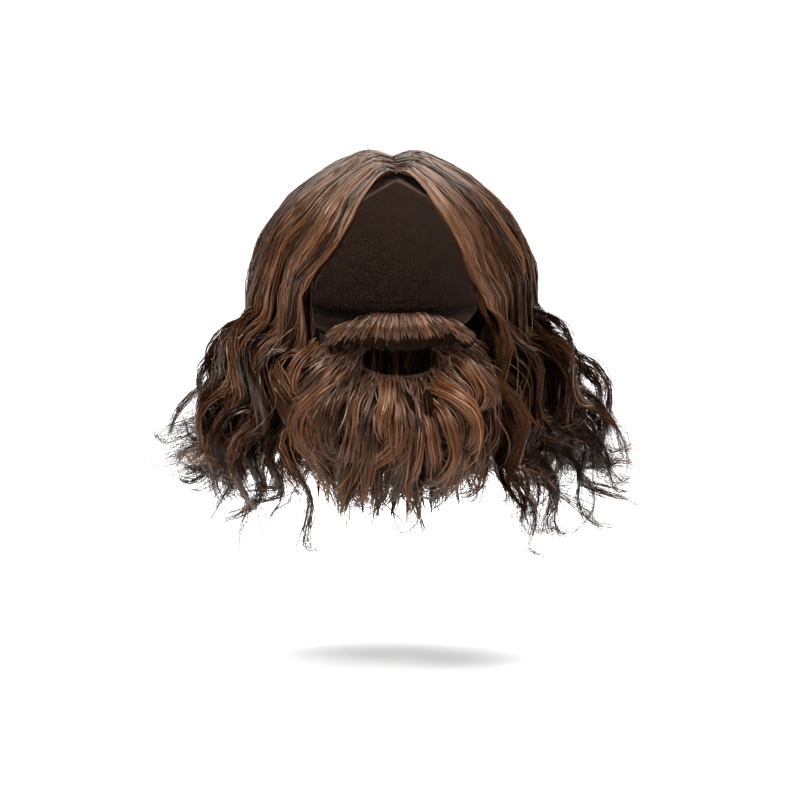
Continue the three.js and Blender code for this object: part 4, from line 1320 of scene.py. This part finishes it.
def coat_strands(low, high, count, width, rng):
    """Short strands all over the net between two turns."""
    turn = rng.uniform(low, high, count)
    level = coat_levels(turn, rng.uniform(-0.06, 1, count))
    lift = rng.uniform(0, 0.5, count) * UNDERCOAT + BEARD_BASE
    sweep = COAT_SWEEP * np.clip(turn / CHIN_TURN, -1, 1)
    length = rng.uniform(*COAT_LENGTHS, count)
    return short_strands(turn, level, lift, length, sweep, width, rng)


def mouth_to_edge(half, share):
    """Turn and level on the net, a share of the way from the mouth's opening to the net's edge.

    half is the bearing from the opening's middle, 0 straight up and 180 straight down. The opening
    is an ellipse in turn and height.
    """
    edge_turn = read_table(BEARD_EDGE, "bearing", half, "turn")
    edge_level = read_table(BEARD_EDGE, "bearing", half, "level")
    mouth_turn = MOUTH_TURN * np.sin(np.radians(half))
    mouth_level = (MOUTH_LEVEL - MOUTH_RISE * np.cos(np.radians(half))) / FACE_DROP
    return mix(mouth_turn, edge_turn, share), mix(mouth_level, edge_level, share)


def mouth_strands(low, high, count, width, rng):
    """Short strands from the bound edge of the mouth opening, beside and below it.

    Their roots rise off the net with their share of the way to its edge, up to 0.3 of it.
    """
    half = rng.uniform(*MOUTH_BEARINGS, count)
    share = rng.uniform(*MOUTH_SHARES, count)
    turn, level = mouth_to_edge(half, share)
    turn = turn * np.where(rng.random(count) < 0.5, -1, 1) if low < 0 else turn
    kept = (turn >= low) & (turn <= high)
    turn, level, share = turn[kept], level[kept], share[kept]
    lift = NET_CLEARANCE + NET_WALL + MOUTH_LIFT + MOUTH_LIFT_GROWS * np.clip(share, 0, 0.3)
    sweep = MOUTH_SWEEP * np.clip(turn / CHIN_TURN, -1, 1)
    length = rng.uniform(*MOUTH_LENGTHS, len(turn))
    return short_strands(turn, level, lift, length, sweep, width * 0.9, rng)


def moustache_paths(turn, beyond, aside, rings, rng=None):
    """Paths of the moustache: they leave the face outwards and roll down over the lip.

    The sweep to the side grows from the middle, with the turn of the root. Length and sweep differ
    from tuft to tuft with two sines of the turn, a path bends with a sine of its own share, and
    strands, which have a source of random values, roll further under and end at lengths of their own.
    """
    rows = between_rows(MOUSTACHE_LOCKS, "turn", np.abs(turn))
    first = MOUSTACHE_LOCKS["turn"][0]
    tuft = np.sin(turn * 2.1 + 1) + 0.6 * np.sin(turn * 5.3)
    amount, under, cut = tuft, MOUSTACHE_ROLL, np.ones(len(turn))
    if rng is not None:
        amount = tuft + rng.normal(0, MOUSTACHE_SPREAD, len(turn))
        under = MOUSTACHE_TUCK * MOUSTACHE_ROLL
        cut = cut_lengths(len(turn), MOUSTACHE_SHORTEST, rng)
    length = rows["length"] * MOUSTACHE_DROP * (1 + 0.05 * amount)
    lean = MOUSTACHE_SWEEP * rows["lean"] * np.clip(turn / first, -1, 1) + MOUSTACHE_BEND * amount
    lift = np.full_like(turn, BEARD_BASE + MOUSTACHE_LOCK_THICKNESS / 2)
    start = face_point(turn, rows["level"], lift)
    share = np.linspace(0, 1, PATH_STEPS + 1)[None, :]
    roll = mix(MOUSTACHE_RISE, -under, smoothstep(share, 0, 0.9))
    bend = MOUSTACHE_BEND * np.sin(2 * np.pi * (1.2 * share + tuft[:, None]))
    pitch, yaw = np.broadcast_arrays(roll, lean[:, None] + bend)
    points, across, out = walk(start, direction(turn, 90.0), length, pitch, yaw)
    return moved_aside(points, across, out, aside, beyond, cut, rings)


def moustache_roll():
    """The moustache's body, near-black as painted shade: one rolled sheet on its paths.

    Its thickness is the root of 1 less the sixth power of the turn, which rounds its ends, times
    half a sine from root to tip.
    """
    turn = np.linspace(-MOUSTACHE_TURN, MOUSTACHE_TURN, 60)
    none = np.zeros(len(turn))
    points, _, out = moustache_paths(turn, none, none, 16)
    share = np.linspace(0, 1, 16)[None, :]
    to_end = np.abs(turn) / (MOUSTACHE_TURN + ROLL_END)
    form = np.sqrt(np.maximum(1 - to_end**6, 0))[:, None] * mix(0.6, 1, np.sin(np.pi * share))
    depth = MOUSTACHE_LOCK_THICKNESS / 2 * ROLL_DEPTH * form
    outer = points + out * depth[..., None]
    inner = points - out * depth[..., None]
    # Shades near the darkest: painted shade inside the roll
    uv = np.stack(np.broadcast_arrays(0.06 + 0.05 * np.sin(turn * 11)[:, None], share), -1)
    return slab(outer, inner, uv, False)


def moustache_strands(count, width, rng):
    """Fine strands over the roll of the moustache, close together."""
    last = MOUSTACHE_TURN + STRANDS_BEYOND
    turn = rng.uniform(-last, last, count)
    height = rng.uniform(0.4, 1.0, count)
    under = rng.random(count) < UNDER_ROLL
    beyond = np.where(under, -height, height) * MOUSTACHE_LOCK_THICKNESS / 2
    aside = rng.normal(0, 1.2, count)
    points, side, up = moustache_paths(turn, beyond, aside, MOUSTACHE_RINGS, rng)
    tuft = 0.1 * np.sin(turn * 1.3) + 0.08 * np.sin(turn * 3.1)
    # Strands nearer the roll's body are darker: painted shade inside the moustache
    shade = mix(-0.1, 0.42, height) + tuft + rng.normal(0, 0.09, count)
    return strands_on(points, side, up, width, shade, rng)


def linear(code):
    """A colour given as an sRGB hex value, as the linear values that Blender reads."""
    values = [((code >> shift) & 255) / 255 for shift in (16, 8, 0)]
    return [v / 12.92 if v <= 0.04045 else ((v + 0.055) / 1.055) ** 2.4 for v in values]


def add_node(tree, kind, inputs=(), **settings):
    """Adds a node with its settings. An input is a value, or the socket that it is linked to."""
    new = tree.nodes.new(kind)
    for name, value in settings.items():
        setattr(new, name, value)
    for name, value in dict(inputs).items():
        if isinstance(value, bpy.types.NodeSocket):
            tree.links.new(value, new.inputs[name])
        else:
            new.inputs[name].default_value = value
    return new


def new_material(name, roughness, ior):
    """A material with an empty tree but its shader and output. Returns it, its tree and shader."""
    material = bpy.data.materials.new(name)
    material.use_nodes = True
    tree = material.node_tree
    tree.nodes.clear()
    shader = add_node(tree, "ShaderNodeBsdfPrincipled", {"Roughness": roughness, "IOR": ior})
    add_node(tree, "ShaderNodeOutputMaterial", {"Surface": shader.outputs["BSDF"]})
    return material, tree, shader


def mottled(tree, place, scale, detail, low, high):
    """Soft patches on a map, from 0 to 1 and, for brightness, from low to high."""
    patches = add_node(
        tree, "ShaderNodeTexNoise", {"Vector": place, "Scale": scale, "Detail": detail}
    )
    amount = add_node(
        tree,
        "ShaderNodeMapRange",
        {"Value": patches.outputs["Fac"], "To Min": low, "To Max": high},
    )
    return patches.outputs["Fac"], amount.outputs["Result"]


def give_surface(tree, shader, colour, brightness, height, strength, depth):
    """Gives a shader its colour, times a brightness, and a relief as deep as depth millimetres."""
    tone = add_node(tree, "ShaderNodeHueSaturation", {"Value": brightness, "Color": colour})
    relief = add_node(
        tree,
        "ShaderNodeBump",
        {"Height": height, "Strength": strength, "Distance": depth * MM},
    )
    tree.links.new(tone.outputs["Color"], shader.inputs["Base Color"])
    tree.links.new(relief.outputs["Normal"], shader.inputs["Normal"])


def fibre_material(name, colours, roughness, gloss):
    """Modacrylic wig fibre, heat-set in waves: a dark base with a long soft gloss on each strand.

    The map's u picks the strand's shade, and its v darkens it a little towards the tip. Along a
    strand lighter and darker patches follow each other, coarse enough to show, which break up the
    gloss as the bends of the fibre do: they are painted highlights and shade of those bends.
    """
    material, tree, shader = new_material(name, roughness, FIBRE_IOR)
    shader.inputs["Specular IOR Level"].default_value = gloss
    shader.inputs["Specular Tint"].default_value = (*linear(GLOSS_TINT), 1)
    place = add_node(tree, "ShaderNodeUVMap", uv_map=TEXTURE_MAP)
    parts = add_node(tree, "ShaderNodeSeparateXYZ", {"Vector": place.outputs["UV"]})
    ramp = add_node(tree, "ShaderNodeValToRGB", {"Fac": parts.outputs["X"]})
    stops = ramp.color_ramp.elements
    while len(stops) < len(colours):
        stops.new(0.5)
    for i, colour in enumerate(colours):
        stops[i].position = i / (len(colours) - 1)
        stops[i].color = (*colour, 1)
    root_bright, tip_bright = FIBRE_BRIGHTNESS
    root = add_node(
        tree,
        "ShaderNodeMapRange",
        {"Value": parts.outputs["Y"], "To Min": root_bright, "To Max": tip_bright},
    )
    along = add_node(
        tree, "ShaderNodeMapping", {"Vector": place.outputs["UV"], "Scale": FIBRE_PATCHES}
    )
    # Painted highlights and shade of the fibre's bends, from the same patches as its relief
    height, patch = mottled(tree, along.outputs["Vector"], scale=1.0, detail=3.0, low=0.7, high=1.3)
    value = add_node(
        tree, "ShaderNodeMath", {0: root.outputs["Result"], 1: patch}, operation="MULTIPLY"
    )
    colour, brightness = ramp.outputs["Color"], value.outputs["Value"]
    give_surface(tree, shader, colour, brightness, height, strength=0.4, depth=FIBRE_RELIEF)
    return material


def woven_material(name, colour, threads, roughness, depth):
    """Knitted or woven thread: two crossing sets of ridges, counted along the map's two ways.

    It is matt with a faint fuzz, darker between the threads as painted shade of the hollows, and a
    little worn in patches.
    """
    material, tree, shader = new_material(name, roughness, THREAD_IOR)
    shader.inputs["Sheen Weight"].default_value = 0.04
    shader.inputs["Sheen Roughness"].default_value = 0.5
    shader.inputs["Specular IOR Level"].default_value = 0.25
    place = add_node(tree, "ShaderNodeUVMap", uv_map=TEXTURE_MAP).outputs["UV"]
    axes = add_node(tree, "ShaderNodeSeparateXYZ", {"Vector": place})
    ridges = []
    for way, count in zip("XY", threads):
        turns = {0: axes.outputs[way], 1: count * 2 * math.pi}
        turned = add_node(tree, "ShaderNodeMath", turns, operation="MULTIPLY")
        ridge = add_node(tree, "ShaderNodeMath", {0: turned.outputs["Value"]}, operation="SINE")
        ridges.append(ridge.outputs["Value"])
    higher = add_node(tree, "ShaderNodeMath", dict(enumerate(ridges)), operation="MAXIMUM")
    height = higher.outputs["Value"]
    ramp = add_node(tree, "ShaderNodeMapRange", {"Value": height, "From Min": -1.0})
    # Painted shade in the hollows between the threads, where the relief is low
    dark = [THREAD_GAP_SHADE * c for c in colour]
    blend = add_node(
        tree,
        "ShaderNodeMix",
        {0: ramp.outputs["Result"], 6: (*dark, 1), 7: (*colour, 1)},
        data_type="RGBA",
    )
    _, worn = mottled(tree, place, scale=60.0, detail=4.0, low=0.75, high=1.25)
    give_surface(tree, shader, blend.outputs[2], worn, height, strength=0.6, depth=depth)
    return material


def skin_material(name, colour):
    """Soft PVC of a parting strip, matt and mottled like a scalp, with fine pores."""
    material, tree, shader = new_material(name, 0.6, SKIN_IOR)
    place = add_node(tree, "ShaderNodeUVMap", uv_map=TEXTURE_MAP).outputs["UV"]
    _, mottle = mottled(tree, place, scale=30.0, detail=5.0, low=0.8, high=1.15)
    pores = add_node(tree, "ShaderNodeTexVoronoi", {"Vector": place, "Scale": 140.0})
    height = pores.outputs["Distance"]
    give_surface(tree, shader, (*colour, 1), mottle, height, strength=0.4, depth=SKIN_RELIEF)
    return material


def material_once(name, make, *values):
    """The material of that name, made the first time that it is asked for."""
    return bpy.data.materials.get(name) or make(name, *values)


def fibres(names, middle, light):
    """The glossy fibre of the strands and the matt one of the hair deep under them."""
    look = bpy.context.scene.wig_set_finish
    colours = [look.hair_shadow, look.hair_dark, middle, light]
    return [
        material_once(name, fibre_material, colours, roughness, gloss)
        for name, (roughness, gloss) in zip(names, (STRAND_FINISH, DEEP_FINISH))
    ]


def wig_fibres():
    """Fibres of the wig."""
    look = bpy.context.scene.wig_set_finish
    names = ("modacrylic fibre heat-set waves", "modacrylic fibre deep in the waves")
    return fibres(names, look.hair_middle, look.hair_light)


def beard_fibres():
    """Fibres of the beard."""
    look = bpy.context.scene.wig_set_finish
    names = ("modacrylic fibre crimped beard", "modacrylic fibre deep in the beard")
    return fibres(names, look.beard_middle, look.beard_light)


class WigSetSizes(bpy.types.PropertyGroup):
    """Numbers and widths of the strands."""

    strand_width: FloatProperty(
        name="Strand width", description="Width of a strand of the wig", default=0.001, unit="LENGTH"
    )
    beard_strand_width: FloatProperty(
        name="Beard strand width", description="Width of a strand of the beard", default=0.0009,
        unit="LENGTH",
    )
    tuft_strands: IntProperty(
        name="Strands in a tuft", description="Strands in each tuft of the wig", default=64, min=3
    )
    flick_strands: IntProperty(
        name="Strands in a flick", description="Strands in each flick", default=16, min=3
    )
    loose_strands: IntProperty(
        name="Loose strands", description="Single strands that stand off each region", default=16, min=0
    )
    beard_tufts: IntProperty(
        name="Beard tufts", description="Tufts on the chin and on each cheek", default=44, min=5
    )
    beard_tuft_strands: IntProperty(
        name="Strands in a beard tuft", description="Strands in each tuft of the beard", default=36,
        min=3,
    )
    short_strands: IntProperty(
        name="Short strands", description="Short strands of the chin and of each cheek", default=700,
        min=10,
    )
    moustache_strands: IntProperty(
        name="Moustache strands", description="Strands of the moustache", default=1300, min=10
    )


class WigSetFinish(bpy.types.PropertyGroup):
    """Colours of the fibre, the cap, the net, the parting and the elastic."""

    hair_shadow: FloatVectorProperty(
        name="Hair shadow", description="Darkest strands", subtype="COLOR", default=linear(0x0B0603)
    )
    hair_dark: FloatVectorProperty(
        name="Hair dark", description="Dark strands", subtype="COLOR", default=linear(0x26140B)
    )
    hair_middle: FloatVectorProperty(
        name="Hair middle", description="Strands of the main shade", subtype="COLOR",
        default=linear(0x573824),
    )
    hair_light: FloatVectorProperty(
        name="Hair light", description="Lightest strands", subtype="COLOR", default=linear(0x8E6246)
    )
    beard_middle: FloatVectorProperty(
        name="Beard middle", description="Beard strands of the main shade", subtype="COLOR",
        default=linear(0x58331C),
    )
    beard_light: FloatVectorProperty(
        name="Beard light", description="Lightest beard strands", subtype="COLOR",
        default=linear(0x8C5A38),
    )
    cap_colour: FloatVectorProperty(
        name="Cap", description="Thread of the cap", subtype="COLOR", default=linear(0x5E473A)
    )
    net_colour: FloatVectorProperty(
        name="Net", description="Thread of the beard's net", subtype="COLOR", default=linear(0x35231A)
    )
    parting_colour: FloatVectorProperty(
        name="Parting", description="Skin tone of the parting", subtype="COLOR",
        default=linear(0xC99C80),
    )
    elastic_colour: FloatVectorProperty(
        name="Elastic", description="Thread of the elastic", subtype="COLOR", default=linear(0x2E241E)
    )


class WigSetCap(bpy.types.Operator):
    """Make the stretch cap, with its bound edge and its rows of sewn wefts"""

    bl_idname = "wig_set.cap"
    bl_label = "Cap"

    def execute(self, context):
        # Rows run from the crown to the edge. The wefts are the cubes of a sine every 8 degrees
        share, turn = grid(np.linspace(0.004, 1, 40), np.arange(0, 360, 3))
        edge = read_table(CAP_EDGE, "turn", np.minimum(turn, 360 - turn), "tilt")
        weft = WEFT_HEIGHT * np.maximum(np.sin(share * edge / WEFT_SPACING * 2 * np.pi), 0) ** 3
        binding = CAP_BINDING * smoothstep(share, 0.93, 0.95)
        way = direction(turn, share * edge)
        outer = head_point(way, CAP_WALL - WEFT_HEIGHT + weft + binding)
        inner = head_point(way, np.zeros_like(share))
        shell = slab(outer, inner, np.stack([turn / 360, share], -1), True)
        look = context.scene.wig_set_finish
        # Knitted nylon, heat-set: dull, with small raised stitches that catch a little light
        weave = (look.cap_colour, *CAP_WEAVE)
        cloth = material_once("nylon stretch net knitted", woven_material, *weave)
        cap = add_piece("cap_fabric", [(shell, 0)], [cloth], ["wig_cap"])
        return {"FINISHED"}


class WigSetParting(bpy.types.Operator):
    """Make the skin-toned strip along the parting"""

    bl_idname = "wig_set.parting"
    bl_label = "Parting"

    def execute(self, context):
        # Rows run from front to back, and 1 less the square of the way across crowns the strip
        share, across = grid(np.linspace(0, 1, 60), np.linspace(-1, 1, 9))
        front = PARTING_FRONT + PARTING_HIDDEN
        way = direction(180.0, mix(front, PARTING_BACK, share))
        crowned = PARTING_CROWN * (1 - across**2)
        outer = head_point(way, HAIR_BASE + PARTING_THICKNESS - PARTING_CROWN + crowned)
        inner = head_point(way, np.full_like(share, HAIR_BASE))
        for face in (outer, inner):
            face[..., 0] = across * PARTING_WIDTH / 2
        strip = slab(outer, inner, np.stack([share, across / 2 + 0.5], -1), False)
        look = context.scene.wig_set_finish
        skin = material_once("PVC parting strip moulded", skin_material, look.parting_colour)
        add_piece("parting_skin", [(strip, 0)], [skin], ["parting_strip"])
        return {"FINISHED"}


class WigSetHair(bpy.types.Operator):
    """Make the hair of the wig, region by region on each side"""

    bl_idname = "wig_set.hair"
    bl_label = "Wig hair"

    def execute(self, context):
        sizes = context.scene.wig_set_sizes
        width = sizes.strand_width / MM
        slim = width * FLICK_WIDTH
        for number, (side, fall) in enumerate(FALLS.items()):
            locks, flicks = LOCKS[side], FLICKS[side]
            seed = SEEDS["wig"] + WIG_SIDE_SEEDS * number
            for order, (name, region) in enumerate(WIG_REGIONS.items()):
                rng = np.random.default_rng(seed + order)
                patches = [
                    (wig_strands(locks, region, fall, sizes.tuft_strands, width, rng), 0),
                    (flick_strands(flicks, region, fall, sizes.flick_strands, slim, rng), 0),
                    (loose_arcs(locks, region, fall, sizes.loose_strands, width, rng), 0),
                    (crown_shell(region, fall), 1),
                    (wig_cores(locks, region, fall, rng), 1),
                ]
                nodes = [f"{side}_{name}_hair"]
                add_piece(f"{side}_{name}_strands", patches, wig_fibres(), nodes, side)
        return {"FINISHED"}


class WigSetNape(bpy.types.Operator):
    """Make the curls under the back hair"""

    bl_idname = "wig_set.nape"
    bl_label = "Nape curls"

    def execute(self, context):
        width = context.scene.wig_set_sizes.strand_width / MM
        for number, side in enumerate(FALLS):
            patches = nape_hair(width, np.random.default_rng(SEEDS["nape"] + number))
            nodes = [f"{side}_nape_curls"]
            add_piece(f"{side}_nape_strands", patches, wig_fibres(), nodes, side)
        return {"FINISHED"}


class WigSetBeard(bpy.types.Operator):
    """Make the hair of the chin, the cheeks and the moustache"""

    bl_idname = "wig_set.beard"
    bl_label = "Beard hair"

    def execute(self, context):
        sizes = context.scene.wig_set_sizes
        width = sizes.beard_strand_width / MM
        tufts, per_tuft = sizes.beard_tufts, sizes.beard_tuft_strands
        short, few = sizes.short_strands, sizes.short_strands // 2
        rng = np.random.default_rng(SEEDS["chin"])
        low, high = -CHIN_TURN, CHIN_TURN
        table = joined_rows(CHIN_LOCKS, CHEEK_LOCKS["left"], mirror_rows(CHEEK_LOCKS["right"]))
        chin = [
            (beard_strands(table, low, high, tufts, per_tuft, width, rng), 0),
            (coat_strands(low, high, short, width, rng), 0),
            (mouth_strands(low, high, short, width, rng), 0),
            (coat_shell(low + COAT_GAP, high - COAT_GAP), 1),
            (beard_cores(table, low, high, 5, rng), 1),
        ]
        add_piece("chin_strands", chin, beard_fibres(), ["chin_hair"])
        chins = {"left": CHIN_LOCKS, "right": mirror_rows(CHIN_LOCKS)}
        low, high = CHIN_TURN, FACE_TURN
        for number, side in enumerate(FALLS):
            rng = np.random.default_rng(SEEDS["cheek"] + number)
            table = joined_rows(CHEEK_LOCKS[side], chins[side])
            cheek = [
                (beard_strands(table, low, high, tufts, per_tuft, width, rng), 0),
                (coat_strands(low, high, few, width, rng), 0),
                (coat_strands(high, COAT_TURN + 2, short, width, rng), 0),
                (mouth_strands(low, high, few, width, rng), 0),
                (coat_shell(low + COAT_GAP, COAT_TURN), 1),
                (beard_cores(table, low, high, 4, rng), 1),
            ]
            nodes = [f"{side}_cheek_hair"]
            add_piece(f"{side}_cheek_strands", cheek, beard_fibres(), nodes, side)
        rng = np.random.default_rng(SEEDS["moustache"])
        lip = [(moustache_strands(sizes.moustache_strands, width, rng), 0), (moustache_roll(), 1)]
        add_piece("moustache_strands", lip, beard_fibres(), ["moustache"])
        return {"FINISHED"}


class WigSetNet(bpy.types.Operator):
    """Make the net that carries the beard, and its elastic"""

    bl_idname = "wig_set.net"
    bl_label = "Net and elastic"

    def execute(self, context):
        look = context.scene.wig_set_finish
        # Rows run from the mouth's opening to the net's edge, and both are bound
        share, bearing = grid(np.linspace(0, 1, 24), np.arange(0, 360, 3))
        turn, level = mouth_to_edge(np.minimum(bearing, 360 - bearing), share)
        turn = np.where(bearing > 180, -1, 1) * turn
        binding = NET_BINDING * (smoothstep(share, 0.93, 0.96) + 1 - smoothstep(share, 0.04, 0.07))
        outer = face_point(turn, level, NET_CLEARANCE + NET_WALL - NET_THINNER + binding)
        inner = face_point(turn, level, np.full_like(turn, NET_CLEARANCE))
        shell = slab(outer, inner, np.stack([bearing / 360, share], -1), True)
        # Woven polyester: flat and dull, with crossing threads that just stand up
        weave = (look.net_colour, *NET_WEAVE)
        cloth = material_once("polyester net woven", woven_material, *weave)
        net = add_piece("net_fabric", [(shell, 0)], [cloth], ["beard_net"])

        # Rows run from ear to ear round the back, and the strap sinks there with half a sine
        share, across = grid(np.linspace(0, 1, 120), np.linspace(-1, 1, 7))
        turn = mix(STRAP_TURN, 360 - STRAP_TURN, share)
        tilt = mix(STRAP_EAR_TILT, STRAP_BACK_TILT, np.sin(np.pi * share))
        half_tilt = np.degrees(STRAP_WIDTH / 2 / HEAD_HALVES[2])
        way = direction(turn, tilt - across * half_tilt)
        outer = head_point(way, np.full_like(share, -STRAP_DEPTH))
        inner = head_point(way, np.full_like(share, -STRAP_DEPTH - STRAP_THICKNESS))
        strap = slab(outer, inner, np.stack([share, across / 2 + 0.5], -1), False)
        # Rubber threads braided over with yarn: dull, with a few ribs along the strap
        weave = (look.elastic_colour, *STRAP_WEAVE)
        webbing = material_once("rubber elastic braided", woven_material, *weave)
        add_piece("elastic_webbing", [(strap, 0)], [webbing], ["beard_elastic"])
        return {"FINISHED"}


def aimed(item, place, target):
    """Puts a camera's or a lamp's object at a place, in the scene and turned towards a target."""
    item.location = place
    item.rotation_mode = "QUATERNION"
    item.rotation_quaternion = (target - place).to_track_quat("-Z", "Y")
    bpy.context.scene.collection.objects.link(item)
    return item


def studio_sweep():
    """Mesh of a white studio sweep: flat floor, a quarter circle, then straight up, in metres."""
    bend = np.linspace(0, np.pi / 2, 24)
    reach, level = SWEEP_REACH, FLOOR_LEVEL
    away = np.concatenate([[-SWEEP_HALF], reach + SWEEP_BEND * np.sin(bend), [reach + SWEEP_BEND]])
    rise = np.concatenate([[level], level + SWEEP_BEND * (1 - np.cos(bend)), [SWEEP_HEIGHT]])
    near = np.stack([np.full_like(away, -SWEEP_HALF), away, rise], -1)
    far = near * np.array([-1.0, 1.0, 1.0])
    index = np.arange(len(away) - 1)
    faces = np.stack([index, index + len(away), index + len(away) + 1, index + 1], -1)
    mesh = bpy.data.meshes.new("floor")
    mesh.from_pydata(np.concatenate([near, far]).tolist(), [], faces.tolist())
    mesh.polygons.foreach_set("use_smooth", np.ones(len(faces), bool))
    return mesh


class WigSetStage(bpy.types.Operator):
    """Make the camera, the lights and the pale floor"""

    bl_idname = "wig_set.stage"
    bl_label = "Stage"

    def execute(self, context):
        target = Vector(CAMERA_TARGET)
        back = Vector(direction(CAMERA_TURN, 90 - CAMERA_RISE).tolist())
        data = bpy.data.cameras.new("camera")
        data.sensor_width, data.lens = SENSOR_WIDTH, LENS
        camera = bpy.data.objects.new("camera", data)
        context.scene.camera = aimed(camera, target + back * CAMERA_DISTANCE, target)
        for name, place, size, power in LIGHTS:
            lamp = bpy.data.lights.new(name, "AREA")
            lamp.size, lamp.energy = size, power
            aimed(bpy.data.objects.new(name, lamp), Vector(place), target)

        world = bpy.data.worlds.new("studio")
        world.use_nodes = True
        backdrop = world.node_tree.nodes["Background"]
        backdrop.inputs["Color"].default_value = (1, 1, 1, 1)
        backdrop.inputs["Strength"].default_value = BACKDROP_STRENGTH
        context.scene.world = world
        context.scene.view_settings.view_transform = "Standard"

        # White wall paint, rolled on: no gloss, and a grain that hardly shows
        floor = bpy.data.objects.new("floor", studio_sweep())
        paint, tree, shader = new_material("matt white paint rolled", 0.9, 1.5)
        place = add_node(tree, "ShaderNodeTexCoord").outputs["Object"]
        _, tone = mottled(tree, place, scale=400.0, detail=2.0, low=0.9, high=0.93)
        tree.links.new(tone, shader.inputs["Base Color"])
        floor.data.materials.append(paint)
        context.scene.collection.objects.link(floor)
        return {"FINISHED"}


class WigSetPanel(bpy.types.Panel):
    """Sizes, colours and pieces of the set"""

    bl_idname = "VIEW3D_PT_wig_set"
    bl_label = "Wig and beard"
    bl_space_type = "VIEW_3D"
    bl_region_type = "UI"
    bl_category = "Wig and beard"

    def draw(self, context):
        layout = self.layout
        for group in (context.scene.wig_set_sizes, context.scene.wig_set_finish):
            box = layout.box()
            for name in group.bl_rna.properties.keys():
                if name not in ("rna_type", "name"):
                    box.prop(group, name)
        for operator in OPERATORS:
            layout.operator(operator.bl_idname)


OPERATORS = (
    WigSetStage,
    WigSetCap,
    WigSetParting,
    WigSetHair,
    WigSetNape,
    WigSetBeard,
    WigSetNet,
)
CLASSES = (WigSetSizes, WigSetFinish, *OPERATORS, WigSetPanel)


def register():
    """Registers the classes and hangs the two groups of settings on the scene."""
    for item in CLASSES:
        bpy.utils.register_class(item)
    bpy.types.Scene.wig_set_sizes = PointerProperty(type=WigSetSizes)
    bpy.types.Scene.wig_set_finish = PointerProperty(type=WigSetFinish)


def unregister():
    """Removes what register added."""
    del bpy.types.Scene.wig_set_finish
    del bpy.types.Scene.wig_set_sizes
    for item in reversed(CLASSES):
        bpy.utils.unregister_class(item)


def main():
    """Makes the stage and every piece in order."""
    register()
    bpy.ops.wig_set.stage()
    bpy.ops.wig_set.cap()
    bpy.ops.wig_set.parting()
    bpy.ops.wig_set.hair()
    bpy.ops.wig_set.nape()
    bpy.ops.wig_set.beard()
    bpy.ops.wig_set.net()


if __name__ == "__main__":
    main()
